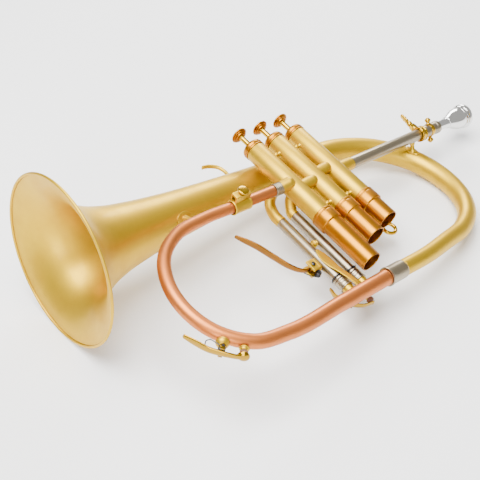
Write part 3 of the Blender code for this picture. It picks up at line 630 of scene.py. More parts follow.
def casing_grids(valve):
    """A valve's casing with its port, or the middle one's knuckles and braces to its neighbours."""
    x = VALVE_X[valve]
    shell = [(9.35, CASING_BOTTOM), (CASING_R, CASING_BOTTOM), (CASING_R, CASING_TOP), (9.35, CASING_TOP)]
    grids = [on_valve(valve, shell)]
    if valve == "1":
        port = [(x + 6, 6.4), (x + 12, 6.5), (x + 20, 6.3), (49.6, 6.1)]
        grids.append(sweep(smooth_path([(place, PIPE_Y, 0.0, radius) for place, radius in port], 24)))
    if valve == "3":
        grids.append(domed((-41.3, LEAD_Y, LEAD_Z + 0.4), (x - 1.6, -4.6, 8.8), 6.0))
    if valve == "2":
        for side, y, shift in ((-1, -9.5, 2.0), (1, -2.0, 0.0)):
            middle = side * VALVE_X["1"] / 2
            grids.append(domed((middle - 10.2, y, 2.4), (middle + 8.2 + shift, y, 5.4), 5.9))
            for brace_y in (-36.0, 35.0):
                waist = [2.6, 2.3, 1.7, 1.5, 2.3, 2.5, 2.3, 1.5, 1.7, 2.3, 2.6]
                grids.append(rod((side * 9.0, brace_y, 1.6), (side * 17.5, brace_y, 1.6), waist, 32))
    return grids


def top_cap_profile():
    """A top cap's outline: grooved rim, rounded shoulder and the felt's well."""
    return [
        (9.4, 48.7), (10.5, 48.7), (10.6, 49.1), (10.6, 49.9), (10.2, 50.1), (10.2, 50.7), (10.6, 50.9),
        (10.55, 53.4), (9.9, 54.7), (8.8, 55.6), (6.8, 56.1), (5.9, 56.1), (5.7, 55.6), (5.7, 51.7),
        (2.7, 51.6), (2.7, 50.2), (9.4, 50.2)]


def bottom_cap_profile(end):
    """A bottom cap's outline: wide screwed part, floor and the open tube down to the end."""
    seam = -57.4
    return [
        (9.4, -43.4), (11.1, -43.4), (11.35, -43.9), (11.35, -45.6), (11.1, -46.0), (11.1, -46.5),
        (11.35, -46.9), (11.35, seam + 1.2), (11.0, seam + 0.4), (10.0, seam + 0.1), (9.9, seam - 0.4),
        (9.9, end + 0.5), (9.75, end), (9.1, end), (8.9, end + 0.4), (8.9, seam - 1.5), (3.2, seam - 1.5),
        (3.2, seam), (9.4, seam)]


class MakeValves(bpy.types.Operator):
    """The three casings with their ports, and their top and bottom caps."""

    bl_idname = "flugelhorn.valves"
    bl_label = "Valves"

    def execute(self, context):
        sides = context.scene.flugelhorn_sizes.turned_sides
        for valve in VALVE_X:
            piece(f"valve_casing_{valve}", casing_grids(valve), f"casing_{valve}")
            for end, profile in (
                    ("top", top_cap_profile()), ("bottom", bottom_cap_profile(CAP_TUBE_END[valve]))):
                grid = on_valve(valve, profile, sides, 0.2)
                piece(f"valve_{end}_cap_{valve}", [grid], f"{end}_cap_{valve}", "orange_gold")
        return {"FINISHED"}


class MakeButtons(bpy.types.Operator):
    """The finger buttons and their stems, which move with the pistons."""

    bl_idname = "flugelhorn.buttons"
    bl_label = "Finger buttons"

    def execute(self, context):
        disc = [
            (0.0, 69.9), (4.6, 69.9), (5.2, 70.3), (5.2, 71.3), (6.8, 71.4), (7.1, 71.8), (6.9, 72.3),
            (6.6, 72.5), (7.8, 72.6), (8.2, 73.0), (8.2, 73.8), (7.7, 74.3), (6.8, 74.5), (5.6, 74.35),
            (4.4, 74.1), (0.0, 74.05)]
        stem = [
            (0.0, 44.3), (2.3, 44.3), (2.6, 44.8), (2.6, 68.1), (3.1, 68.5), (3.1, 69.1), (2.6, 69.5),
            (3.2, 70.3), (0.0, 70.6)]
        for valve in VALVE_X:
            body = f"valve {valve}"
            grid = on_valve(valve, stem, STEM_SIDES, loop=False)
            piece(f"button_stem_{valve}", [grid], f"button_{valve}", "bright_gold", body)
            piece(
                f"finger_button_{valve}", [on_valve(valve, disc, 80, loop=False)], finish="orange_gold",
                body=body)
        return {"FINISHED"}


# ---------------------------------------------------------------- mouthpipe

def on_pipe(profile, x=0.0, sides=96, reach=0.25):
    """The closed outline turned about the mouthpipe's axis."""
    return lathe((x, PIPE_Y, 0), (1, 0, 0), profile, sides, reach, loop=True)


class MakeMouthpipe(bpy.types.Operator):
    """The nickel mouthpipe, its clamp and wing screw, and the tuning receiver with its posts."""

    bl_idname = "flugelhorn.mouthpipe"
    bl_label = "Mouthpipe"

    def execute(self, context):
        pipe = [(5.0, 50.0), (PIPE_R, 50.0), (PIPE_R, 150.0), (5.0, 150.0)]
        piece("mouthpipe_tube", [on_pipe(pipe)], "mouthpipe", "brushed_nickel")
        ring = [
            (5.05, 150.3), (7.4, 150.3), (7.9, 150.8), (7.9, 152.0), (7.4, 152.4), (7.4, 155.2),
            (7.9, 155.6), (7.9, 156.8), (7.4, 157.3), (5.05, 157.3)]
        ear = rod(
            (153.9, -1.0, 0), (154.6, 8.4, 0), [(3.1, 3.1), (3.2, 3.4), (3.0, 3.3), (2.6, 2.9)], 40, 0.5,
            4.0)
        piece("clamp_collar", [on_pipe(ring), ear], "clamp_ring", "bright_gold")
        neck = rod((154.7, 8.8, 0), (155.3, 14.4, 0), [2.6, 2.9, 2.9, 2.5, 1.7], 32)
        turn = np.linspace(0.0, 6 * np.pi, 60)
        spine = smooth_path([
            (155.2, 13.6, 0, 2.3, 1.6), (155.6, 16.6, 0, 2.9, 1.8), (156.2, 20.6, 0, 2.9, 1.7),
            (156.7, 24.8, 0, 2.2, 1.3)], 60)
        spine[:, 3:] *= (1 - 0.09 * np.cos(turn))[:, None]
        wing = sweep(spine, 32, (1, 0, 0.3), 2.4, 0.5)
        piece("clamp_wing", [neck, wing], "wing_screw", "bright_gold", "clamp screw")
        tube = [
            (3.8, 130.0), (4.5, 130.0), (4.5, 158.0), (6.2, 158.0), (6.2, 176.0), (6.6, 176.4),
            (6.6, 180.4), (6.2, 181.0), (5.2, 181.0), (5.2, 161.0), (3.8, 161.0)]
        piece("tuning_receiver", [on_pipe(tube)], "receiver", "brushed_nickel", "receiver")
        posts = [on_pipe([(6.0, 165.6), (6.9, 166.0), (6.9, 170.0), (6.0, 170.4)])]
        for side in (-1, 1):
            start = np.array([168.0, PIPE_Y + side * 3.7, side * 4.9])
            end = np.array([168.0, PIPE_Y + side * 7.8, side * 10.0])
            way = unit(end - start)
            profile = [
                (0.0, 0.0), (2.4, 0.0), (2.3, 0.9), (1.5, 1.7), (2.3, 2.2), (3.0, 3.2), (3.1, 4.2),
                (2.7, 5.2), (1.8, 5.8), (1.5, 6.0), (1.3, 6.5), (0.0, 6.7)]
            posts.append(lathe(start + way * 0.2, way, profile, 40, 0.4))
        piece("receiver_posts", posts, finish="bright_gold", body="receiver")
        return {"FINISHED"}


class MakeMouthpiece(bpy.types.Operator):
    """The silver mouthpiece: rounded rim, deep cup and narrow shank."""

    bl_idname = "flugelhorn.mouthpiece"
    bl_label = "Mouthpiece"

    def execute(self, context):
        outer = smooth_outline([
            (4.2, -18), (4.8, 1), (5.1, 10.0), (5.6, 15.0), (7.2, 20.0), (9.6, 25.5), (11.0, 30.5),
            (11.2, 34.0), (10.9, 36.6)], 70)
        rim = [
            (11.0, 37.0), (11.7, 37.3), (12.0, 38.0), (11.7, 38.7), (11.2, 39.1), (11.2, 39.9),
            (12.3, 40.3), (12.7, 41.0), (12.7, 43.4), (12.3, 44.7), (11.5, 45.6), (10.6, 45.95),
            (9.8, 45.7), (9.0, 45.0), (8.5, 44.0)]
        inner = smooth_outline([
            (8.2, 42.5), (7.8, 38.0), (6.6, 31.0), (4.4, 25.0), (2.3, 20.0), (2.3, 12.0), (3.4, -18.0)], 50)
        profile = np.concatenate([outer, rim, inner])
        grid = on_pipe(profile, MOUTHPIECE_X, 112, 0)
        beads = [(4.9, 14.6), (5.9, 15.0), (6.2, 15.8), (5.9, 16.6), (5.2, 17.0)]
        bead = on_pipe(beads, MOUTHPIECE_X, reach=0.3)
        piece("silver_mouthpiece", [grid, bead], "mouthpiece", "polished_silver", "mouthpiece")
        return {"FINISHED"}


# ---------------------------------------------------------------- stays, hook, lyre

class MakeStays(bpy.types.Operator):
    """The two posts with oval feet, and the little finger's hook."""

    bl_idname = "flugelhorn.stays"
    bl_label = "Stays and hook"

    def execute(self, context):
        bow = rear_rows(400)
        top = np.array([142.5, -7.6, -7.0])
        foot = np.array([141.0, -12.0, -12.2])
        way = foot - top
        post = rod(top + way * -0.12, foot + way * 0.35, [2.9, 2.5, 2.1, 2.1, 2.5, 3.2, 3.8], 40)
        plate = saddle_disc(bow, foot, -way, (0.35, 1.0, 0.0), 10.0, 5.6, 1.1)
        piece("mouthpipe_stay_post", [post, plate], "mouthpipe_stay")
        lead = np.array([-129.0, LEAD_Y, 2.2])
        centre = np.array([-129.0, *BELL_AXIS])
        reach = np.linalg.norm(centre - lead)
        way = (centre - lead) / reach
        post = rod(
            lead + way * 5.9, lead + way * (reach - 20.9), [3.0, 2.6, 1.9, 1.7, 1.7, 2.1, 3.0, 3.4], 40)
        plate = saddle_disc(bell_rows(), lead + way * (reach - 21.0), -way, (1.0, 0.0, 0.0), 8.4, 6.0, 1.2)
        piece("bell_stay_post", [post, plate], "bell_stay")
        z = BELL_AXIS[1]
        hook = smooth_path([
            (-46.0, 54.4, z, 2.6, 2.6), (-45.6, 57.0, z, 2.0, 2.0), (-45.0, 61.0, z, 1.8, 1.8),
            (-47.0, 69.0, z, 1.9, 1.8), (-54.0, 74.5, z, 1.8, 2.1), (-62.2, 76.5, z, 1.5, 2.3)], 60)
        plate = saddle_disc(bell_rows(), (-46.0, 54.6, z), (0, 1, 0), (1.0, 0.0, 0.0), 5.6, 4.0, 0.9)
        piece("little_finger_hook", [sweep(hook, 36, edge=1.4), plate], "finger_hook")
        return {"FINISHED"}


class MakeLyre(bpy.types.Operator):
    """The music holder's sleeve, its square socket and its round-headed screw."""

    bl_idname = "flugelhorn.lyre"
    bl_label = "Lyre socket"

    def execute(self, context):
        y = LEAD_Y + 0.4
        sleeve = [
            (5.9, -100.0), (6.3, -100.0), (6.8, -99.5), (6.8, -98.6), (6.5, -98.2), (6.5, -82.8),
            (6.8, -82.4), (6.8, -81.5), (6.3, -81.0), (5.9, -81.0)]
        grids = [lathe((0, y, LEAD_Z), (1, 0, 0), sleeve, loop=True)]
        centre = (-0.4, 12.8)
        sizes = [(0.0, 3.75), (0.3, 3.95), (16.2, 3.95), (16.5, 3.75), (16.5, 1.95), (0.0, 1.95)]
        rows = np.array([(-98.5 + along, *centre, half, half) for along, half in sizes])
        wide, high = squared_circle(once_round(48), 0.22)
        ring = np.stack([0 * wide, wide, high], axis=1)
        socket = rows[:, None, :3] + rows[:, 3, None, None] * ring
        grids.append(np.concatenate([socket, socket[:1]]))
        piece("lyre_socket", grids, "lyre_box")
        head = [
            (0.0, 0.1), (2.3, 0.1), (2.3, 0.9), (4.7, 1.2), (5.1, 1.7), (5.1, 2.4), (4.6, 3.0), (3.6, 3.2),
            (0.0, 3.3)]
        grid = lathe((*LYRE_SCREW, 16.9), (0, 0, 1), head, 72, 0.3)
        piece("lyre_screw_head", [grid], "lyre_screw", "bright_gold", "lyre screw")
        return {"FINISHED"}


# ---------------------------------------------------------------- slides

def u_bow(legs, start, turn_y, z, radius, steps, sides):
    """A tube down from one leg, round the half circle x = m - R·cos t, y = turn_y - R·sin t, and up again."""
    t = np.linspace(0.0, np.pi, steps)
    reach = (legs[1] - legs[0]) / 2
    arc = np.stack([
        sum(legs) / 2 - reach * np.cos(t), turn_y - reach * np.sin(t), 0 * t + z, 0 * t + radius], axis=1)
    first, last = [(leg, start, z, radius) for leg in legs]
    return sweep(np.concatenate([[first], arc, [last]]), sides)


def on_leg(x, profile, sides, reach=0.25):
    """The closed outline turned about a leg of the third slide, from the outer leg's end."""
    return lathe((x, SLIDE_END, SLIDE_Z), (0, 1, 0), profile, sides, reach, loop=True)


def elbow(x, points, sides):
    """A bent tube from the top of a third slide's leg into a casing."""
    path = [(x, SLIDE_TOP + 0.1, SLIDE_Z, 5.35)] + points
    return sweep(smooth_path(path, 48), sides)


class MakeThirdSlide(bpy.types.Operator):
    """The third slide: elbows, nickel outer legs, stay, strip brace, and the moving bow."""

    bl_idname = "flugelhorn.third_slide"
    bl_label = "Third slide"

    def execute(self, context):
        sides = context.scene.flugelhorn_sizes.tube_sides
        far, near = SLIDE_X
        middle = (far + near) / 2
        upper = elbow(
            far,
            [(far, -14.0, SLIDE_Z, 5.3), (far + 3.0, -3.0, -15.4, 5.2), (far + 11.0, 5.0, -13.8, 5.2),
             (-31.0, 8.6, -10.0, 5.2), (-27.0, 9.4, -7.0, 5.2)], sides)
        piece("slide_3_upper_elbow", [upper], "slide_3_elbow_a")
        lower = elbow(
            near,
            [(near, -19.0, SLIDE_Z, 5.3), (near + 1.4, -14.0, -14.6, 5.2), (-30.0, -9.0, -9.5, 5.2),
             (-27.5, -7.5, -6.5, 5.2)], sides)
        piece("slide_3_lower_elbow", [lower], "slide_3_elbow_b")
        length = SLIDE_TOP - SLIDE_END
        for letter, x in zip("ab", SLIDE_X):
            leg = [
                (4.4, 0.0), (5.6, 0.0), (5.95, 0.4), (5.95, 1.8), (5.4, 2.3), (SLIDE_LEG_R, 2.7),
                (SLIDE_LEG_R, length), (4.4, length)]
            piece(
                f"slide_3_outer_leg_{letter}", [on_leg(x, leg, 80)], f"slide_3_leg_{letter}",
                "brushed_nickel")
        bow = u_bow(SLIDE_X, SLIDE_END - 8.6, SLIDE_BOW_Y, SLIDE_Z, 5.0, 40, sides)
        spout = lathe(
            (middle, SPOUT_B_Y, SLIDE_Z), (0, 1, 0),
            [(0.0, 0.0), (2.2, 0.0), (2.6, 0.5), (2.5, 2.2), (3.2, 3.2), (0.0, 4.0)], 40)
        post = rod(
            (middle - 8.6, SLIDE_BOW_Y - 7.0, SLIDE_Z), (*KEY_B_HINGE, SLIDE_Z), [2.9, 2.4, 1.8, 1.7, 1.7],
            32)
        barrel = hinge_bar((*KEY_B_HINGE, SLIDE_Z), 3.6, 1.8, 28)
        seam = [(5.2, 2.9), (6.1, 3.0), (6.2, 3.5), (6.1, 4.0), (5.2, 4.1)]
        rings = [on_leg(x, seam, 64) for x in SLIDE_X]
        piece("slide_3_dark_rings", rings, finish="spring_steel")
        piece("slide_3_bow", [bow, spout, post, barrel], "slide_3", body="slide 3")
        inner = []
        for x in SLIDE_X:
            inner.append(rod((x, SLIDE_END - 4.0, SLIDE_Z), (x, -40.0, SLIDE_Z), [4.0, 4.0], 40))
            profile = [
                (4.6, -9.0), (6.0, -9.0), (6.25, -8.6), (6.25, -7.8), (5.7, -7.3), (5.7, -4.9),
                (5.95, -4.6), (5.95, -4.1), (5.7, -3.8), (5.7, -2.4), (5.95, -2.1), (5.95, -0.8),
                (5.7, -0.35), (3.8, -0.35)]
            inner.append(on_leg(x, profile, 72, 0.15))
        piece("slide_3_inner_legs", inner, finish="brushed_nickel", body="slide 3")
        clear = SLIDE_LEG_R + 0.1
        waist = [2.8, 2.6, 2.0, 1.9, 2.8, 3.6, 3.9, 3.6, 2.8, 1.9, 2.0, 2.6, 2.8]
        stay = rod((far + clear, -57.0, SLIDE_Z), (near - clear, -57.0, SLIDE_Z), waist, 40)
        piece("slide_3_stay", [stay], "slide_stay")
        strip = smooth_path([
            (-50.3, -66.6, -11.5, 1.4, 0.6), (-50.7, -72.0, -11.5, 3.4, 0.6),
            (-50.9, -79.0, -11.4, 4.5, 0.6), (-50.6, -85.0, -11.0, 4.2, 0.6),
            (-49.8, -92.0, -10.4, 3.0, 0.6), (-48.4, -101.0, -9.6, 2.7, 0.6),
            (-47.2, -110.0, -8.9, 2.7, 0.6), (-46.4, -119.6, -8.4, 3.2, 0.6)], 60)
        ribbon = sweep(strip, 32, (0, 0.1, 1.0), 5.0, 0.2)
        piece("slide_3_strip", [ribbon], "strip_brace")
        return {"FINISHED"}


class MakeBackSlides(bpy.types.Operator):
    """The first and second slides behind the valves, and the first slide's pull ring."""

    bl_idname = "flugelhorn.back_slides"
    bl_label = "First and second slides"

    def execute(self, context):
        for valve, (legs, z, end) in BACK_SLIDES.items():
            x = VALVE_X[valve]
            outer = []
            for leg in legs:
                path = [
                    (x + (leg - x) * 0.3, -14.0, -5.0, 4.8), (x + (leg - x) * 0.8, -16.0, -12.0, 4.8),
                    (leg, -24.0, z, 4.8), (leg, end * 0.8, z, 4.8), (leg, end, z, 4.8)]
                outer.append(sweep(smooth_path(path, 40), 40))
                cuff = [(4.2, 0.1), (5.2, 0.1), (5.3, 1.6), (4.9, 2.1), (4.2, 2.3)]
                outer.append(lathe((leg, end, z), (0, 1, 0), cuff, 56, loop=True))
            outer.append(
                rod((legs[0] + 4.0, -38.0, z), (legs[1] - 4.0, -38.0, z), [1.7, 2.1, 2.6, 2.1, 1.7], 32))
            piece(f"slide_{valve}_outer_legs", outer, f"slide_{valve}_legs", "brushed_nickel")
            bow = u_bow(legs, end - 0.4, end - 4.0, z, 4.8, 32, 44)
            piece(f"slide_{valve}_bow", [bow], f"slide_{valve}", body=f"slide {valve}")
            inner = [rod((leg, end - 2.0, z), (leg, end + 20.0, z), [3.5, 3.5], 32) for leg in legs]
            piece(f"slide_{valve}_inner_legs", inner, finish="brushed_nickel", body=f"slide {valve}")
        legs, z, end = BACK_SLIDES["1"]
        bow = np.array([sum(legs) / 2, end - 4.0, z])
        centre = np.array([*PULL_RING, z])
        way = unit(centre - bow)
        t = once_round(24)
        ring = np.stack([6.2 + 1.8 * np.cos(t), 1.8 * np.sin(t)], axis=1)
        grid = lathe(centre, (0, 0, 1), ring, 72, 0, loop=True)
        neck = rod(
            bow + way * ((legs[1] - legs[0]) / 2 + 4.8), centre - way * 6.8, [2.6, 1.8, 1.5, 1.6], 32)
        piece("slide_1_pull_ring", [grid, neck], "slide_ring", "bright_gold", "slide 1")
        return {"FINISHED"}


# ---------------------------------------------------------------- trigger and water keys

class MakeTrigger(bpy.types.Operator):
    """The trigger's saddle, pin and spring, and its long curved lever."""

    bl_idname = "flugelhorn.trigger"
    bl_label = "Trigger"

    def execute(self, context):
        plates = [
            rod((start, -77.2, z), (end, -77.2, z), [(6.0, half)] * 2, 40, 0.3, 6.0) for start, end, z,
            half in ((-67.6, -60.4, -22.3, 1.25), (-67.6, -60.4, -13.9, 1.25), (-60.6, -57.9, -18.1, 5.45))]
        piece("trigger_bracket", plates, "trigger_saddle")
        x, y = TRIGGER_PIVOT[:2]
        pin = lathe(
            (x, y, -24.6), (0, 0, 1),
            [(0.0, 0.0), (1.5, 0.0), (1.9, 0.4), (1.9, 1.1), (1.1, 1.4), (1.1, 12.0), (1.9, 12.3),
             (1.9, 13.2), (1.2, 13.6), (0.0, 13.7)], 32, 0.2)
        spring = coil((x + 1.0, y - 7.6, -18.1), (0, 0, 1), 2.2, WIRE, 4, 1.25)
        bends = [(x + 1.0, y - 9.7, -20.6), (x - 5.0, y - 4.6, -20.2), (x - 9.0, y + 0.6, -19.4)]
        arm = sweep(smooth_path([(*place, WIRE) for place in bends], 20), 10)
        piece("trigger_pin_and_spring", [pin, spring, arm], finish="spring_steel")
        path = smooth_path([
            (x, y, -18.1, 1.3, 2.1), (-71.5, -77.2, -17.2, 1.2, 2.3), (-77.4, -74.6, -15.8, 1.1, 2.7),
            (-83.6, -68.6, -14.0, 1.1, 3.2), (-91.0, -55.0, -11.6, 1.1, 3.7),
            (-98.5, -38.5, -9.6, 1.1, 3.7), (-105.0, -28.0, -8.6, 1.0, 3.0),
            (-109.0, -22.0, -8.0, 0.9, 1.9)], 90)
        lever = sweep(path, corner=2.0, edge=0.7)
        eye = lathe(
            (x, y, -18.1), (0, 0, 1),
            [(1.2, -2.6), (2.2, -2.6), (2.5, -2.2), (2.5, 2.2), (2.2, 2.6), (1.2, 2.6)], 48, loop=True)
        # The lever is the caps' orange gold with its colour darkened as painted shade.
        piece(
            "trigger_finger_lever", [lever, eye], "trigger_lever", "amber_lacquer", "trigger")
        return {"FINISHED"}


def hinge_bar(hinge, half, radius, sides):
    """A bar along Z through a hinge, reaching half its length to each side."""
    return rod(np.array(hinge) - (0, 0, half), np.array(hinge) + (0, 0, half), [radius, radius], sides)


def hinge_spring(hinge, half, radius, coil_radius, wire, turns, pitch):
    """A key's hinge screw and the coil round it."""
    return [hinge_bar(hinge, half, radius, 24), coil(hinge, (0, 0, 1), coil_radius, wire, turns, pitch)]


def beside_key_a(along, out, across=0.0):
    """A place near the front water key: along the bow, out from its centre line and across it."""
    way = np.array([0.705, -0.709, 0.0])
    outward = np.array([-0.709, -0.705, 0.0])
    return np.array(KEY_A_ORIGIN) + along * way + out * outward + np.array([0.0, 0.0, across])


def key_grids(path, hinge, cheek_out):
    """A finger strap over its hinge: the strap, and a cheek and its web at each end of the barrel."""
    grids = [sweep(smooth_path(path, 70), 36, corner=2.1, edge=0.6)]
    foot = np.array(path[3][:3]) * 0.6 + np.array(hinge) * 0.4
    for side in (-1, 1):
        disc = [
            (0.0, side * cheek_out), (2.2, side * cheek_out), (2.3, side * (cheek_out + 0.6)),
            (2.1, side * (cheek_out + 1.2)), (0.0, side * (cheek_out + 1.2))]
        grids.append(lathe(hinge, (0, 0, 1), disc, 32, 0.2))
        z = hinge[2] + side * (cheek_out + 0.6)
        grids.append(
            rod((hinge[0], hinge[1], z),
             (foot[0] * 1.6 - hinge[0] * 0.6, foot[1] * 1.6 - hinge[1] * 0.6, z),
             [(1.9, 0.55), (1.7, 0.55)], 28, 0.15, 4.0))
    return grids


def strap_rows(places, halves, thick=0.8):
    """Sweep rows for a flat strap of that half thickness and those half widths."""
    return [(*place, thick, half) for place, half in zip(places, halves)]


class MakeWaterKeys(bpy.types.Operator):
    """Both water keys: post, hinge screw, spring, spout, cork and lever."""

    bl_idname = "flugelhorn.water_keys"
    bl_label = "Water keys"

    def execute(self, context):
        hinge = beside_key_a(*KEY_A_HINGE)
        outward = beside_key_a(0, 1) - beside_key_a(0, 0)
        bulb = [
            (0.0, 0.0), (4.4, 0.2), (5.4, 1.6), (5.6, 3.2), (5.2, 4.6), (4.3, 5.8), (3.5, 6.6), (3.6, 7.0),
            (3.6, 7.4), (2.8, 7.7), (2.5, 8.4), (0.0, 8.6)]
        bulb = lathe(beside_key_a(-9, 3.6, 0.8), outward, bulb, 56, 0.5)
        barrel = hinge_bar(hinge, 4.0, 1.8, 32)
        piece("front_key_post", [bulb, barrel], "key_a_saddle")
        spout = lathe(
            beside_key_a(8, 6.6), outward,
            [(0.0, 0.0), (4.2, 0.0), (4.2, 0.8), (3.5, 1.2), (3.3, 2.4), (2.6, 3.0), (0.0, 3.0)], 40)
        piece("front_key_spout", [spout], "key_a_spout")
        places = [
            beside_key_a(-39, 7.4), beside_key_a(-29, 11.4), beside_key_a(-19, 15.0),
            beside_key_a(-9, 16.0), beside_key_a(0, 16.2), beside_key_a(7, 15.6)]
        lever = key_grids(strap_rows(places, [2.2, 3.5, 3.4, 3.2, 2.8, 2.8], 1.2), hinge, 4.3)
        cup = [
            (0.0, 0.0), (4.1, 0.0), (4.8, 0.5), (5.0, 1.5), (4.5, 2.7), (3.2, 3.5), (1.3, 3.9), (0.0, 4.0)]
        lever.append(lathe(beside_key_a(8, 12.9), outward, cup, 48))
        piece("front_key_lever", lever, "key_a_lever", "yellow_gold", "water key a")
        cork = lathe(
            beside_key_a(8, 10.0), outward, [(0.0, 0.0), (3.2, 0.0), (3.4, 0.4), (3.4, 3.2), (0.0, 3.3)],
            40)
        piece("front_key_cork", [cork], "key_a_cork", "cork", "water key a")
        loop = [
            (-11.0, 11.0, 3.0), (-15.0, 9.0, 2.8), (-19.0, 7.4, 2.4), (-21.6, 9.0, 2.0), (-22.0, 12.6, 1.6)]
        arm = sweep(smooth_path([(*beside_key_a(*place), WIRE) for place in loop], 40), 10)
        spring = hinge_spring(hinge, 6.2, 1.2, 2.5, WIRE, 6, 1.2)
        piece("front_key_spring", [*spring, arm], finish="spring_steel", body="water key a")
        x, y = KEY_B_HINGE
        hinge = np.array([x, y, SLIDE_Z])
        places = [
            (x - 7.6, y + 20.0, SLIDE_Z), (x - 9.0, y + 11.0, SLIDE_Z), (x - 6.4, y + 3.4, SLIDE_Z),
            (x - 2.6, y - 2.4, SLIDE_Z), (x + 5.0, y - 8.0, SLIDE_Z), (x + 17.0, y - 10.6, SLIDE_Z)]
        lever = key_grids(strap_rows(places, [1.9, 3.0, 3.0, 2.8, 2.4, 2.6]), hinge, 3.9)
        piece("slide_key_lever", lever, "key_b_lever", "yellow_gold", "water key b")
        middle = sum(SLIDE_X) / 2
        cork = lathe(
            (middle, SPOUT_B_Y - 3.2, SLIDE_Z), (0, 1, 0),
            [(0.0, 0.0), (3.0, 0.0), (3.2, 0.4), (3.2, 2.8), (0.0, 2.9)], 40)
        piece("slide_key_cork", [cork], "key_b_cork", "cork", "water key b")
        spring = hinge_spring(hinge, 5.6, 1.1, 2.2, 0.35, 5, 1.1)
        piece("slide_key_spring", spring, finish="spring_steel", body="water key b")
        return {"FINISHED"}


class DressFrame(bpy.types.Operator):
    """Gives the carried CAD nodes, inside the valves, their finishes."""

    bl_idname = "flugelhorn.dress_frame"
    bl_label = "Pistons, springs and felts"

    def execute(self, context):
        finishes = {
            "piston": plain_metal("finish_piston", PISTON_METAL, 0.18),
            "valve_spring": look("spring_steel"), "felt": look("felt")}
        for kind, finish in finishes.items():
            for valve in VALVE_X:
                for slot in frame["nodes"][f"{kind}_{valve}"].material_slots:
                    slot.material = finish
        return {"FINISHED"}


# ---------------------------------------------------------------- stage

CAMERA_PLACE = (-546.5, -358.3, 522.7)
CAMERA_RIGHT = (0.748, -0.625, 0.224)
CAMERA_UP = (0.338, 0.649, 0.681)
CAMERA_LENS = 67.74
CAMERA_SHIFT = (0.0065, 0.0040)
SENSOR_WIDTH = 36.0
FLOOR_REACH = 4.0
FLOOR_DROP = 0.0005
WORLD_COLOUR = (1.0, 0.99, 0.97, 1.0)
WORLD_STRENGTH = 0.58
LIGHT_TARGET = (0.0, 0.0, 0.05)
LIGHTS = (
    ("key", (-0.35, 0.1, 1.35), (1.1, 1.1), 66.0), ("fill", (-1.1, -0.9, 0.45), (0.6, 0.8), 16.0),
    ("rim", (0.9, 0.9, 0.7), (0.6, 0.6), 20.0))


def standing(place, axes):
    """The matrix of an object at a place whose own axes lie along the given ones."""
    matrix = Matrix(np.array(axes).T.tolist()).to_4x4()
    matrix.translation = list(place)
    return matrix


def soft_light(name, place, size, power):
    """A rectangular lamp at a place, facing the horn."""
    lamp = bpy.data.lights.new(name, "AREA")
    lamp.shape = "RECTANGLE"
    lamp.size, lamp.size_y = size
    lamp.energy = power
    made = bpy.data.objects.new(name, lamp)
    away = unit(np.subtract(place, LIGHT_TARGET))
    side = unit(np.cross((0.0, 0.0, 1.0), away))
    made.matrix_world = standing(place, (side, np.cross(away, side), away))
    bpy.context.scene.collection.objects.link(made)


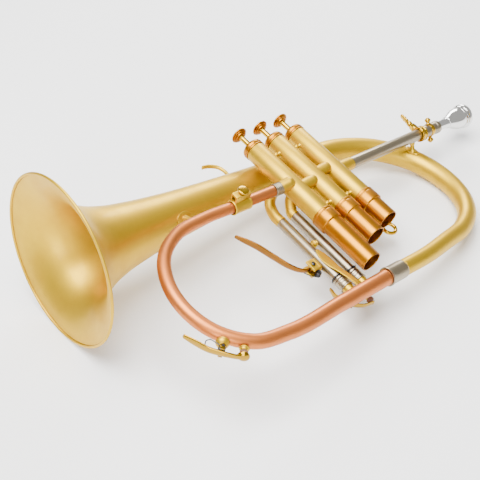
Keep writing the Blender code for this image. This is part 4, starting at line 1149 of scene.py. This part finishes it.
class MakeStage(bpy.types.Operator):
    """The pale floor, the soft lights, the even surroundings and the camera."""

    bl_idname = "flugelhorn.stage"
    bl_label = "Stage"

    def execute(self, context):
        scene = context.scene
        mesh = bpy.data.meshes.new("floor")
        corners = [(x * FLOOR_REACH, y * FLOOR_REACH, 0) for x, y in ((-1, -1), (1, -1), (1, 1), (-1, 1))]
        mesh.from_pydata(corners, [], [(0, 1, 2, 3)])
        floor = bpy.data.objects.new("floor", mesh)
        floor.location.z = -FLOOR_DROP
        scene.collection.objects.link(floor)
        paper = Look("floor_paper")
        place = paper.node("ShaderNodeTexCoord", 3)
        tone = paper.blend(paper.noise(place, 6.0) * 0.15, (0.93, 0.93, 0.93), (0.88, 0.88, 0.88))
        paper.set(Base_Color=tone, Roughness=0.9)
        mesh.materials.append(paper.material)
        world = bpy.data.worlds.new("studio")
        world.use_nodes = True
        background = world.node_tree.nodes["Background"]
        background.inputs["Color"].default_value = WORLD_COLOUR
        background.inputs["Strength"].default_value = WORLD_STRENGTH
        scene.world = world
        for light in LIGHTS:
            soft_light(*light)
        data = bpy.data.cameras.new("camera")
        data.lens = CAMERA_LENS
        data.sensor_width = SENSOR_WIDTH
        data.shift_x, data.shift_y = CAMERA_SHIFT
        data.clip_start, data.clip_end = 0.01, 20.0
        camera = bpy.data.objects.new("camera", data)
        right = unit(np.array(CAMERA_RIGHT) @ TURN)
        up = np.array(CAMERA_UP) @ TURN
        up = unit(up - np.dot(up, right) * right)
        camera.matrix_world = standing(on_table(CAMERA_PLACE), (right, up, np.cross(right, up)))
        scene.collection.objects.link(camera)
        scene.camera = camera
        return {"FINISHED"}


MAKERS = (MakeBell, MakeWrap, MakeValves, MakeButtons, MakeMouthpipe, MakeMouthpiece, MakeStays, MakeLyre,
          MakeThirdSlide, MakeBackSlides, MakeTrigger, MakeWaterKeys, DressFrame, MakeStage)


class FlugelhornPanel(bpy.types.Panel):
    """Lists the horn's sizes, colours and pieces."""

    bl_idname = "VIEW3D_PT_flugelhorn"
    bl_label = "Flugelhorn"
    bl_space_type = "VIEW_3D"
    bl_region_type = "UI"
    bl_category = "Flugelhorn"

    def draw(self, context):
        for group in (context.scene.flugelhorn_sizes, context.scene.flugelhorn_colours):
            for name in group.__annotations__:
                self.layout.prop(group, name)
        for maker in MAKERS:
            self.layout.operator(maker.bl_idname)


CLASSES = (FlugelhornSizes, FlugelhornColours, *MAKERS, FlugelhornPanel)


def register():
    for item in CLASSES:
        bpy.utils.register_class(item)
    bpy.types.Scene.flugelhorn_sizes = PointerProperty(type=FlugelhornSizes)
    bpy.types.Scene.flugelhorn_colours = PointerProperty(type=FlugelhornColours)


def unregister():
    del bpy.types.Scene.flugelhorn_colours
    del bpy.types.Scene.flugelhorn_sizes
    for item in reversed(CLASSES):
        bpy.utils.unregister_class(item)


def main():
    register()
    for maker in MAKERS:
        group, name = maker.bl_idname.split(".")
        getattr(getattr(bpy.ops, group), name)()


if __name__ == "__main__":
    main()
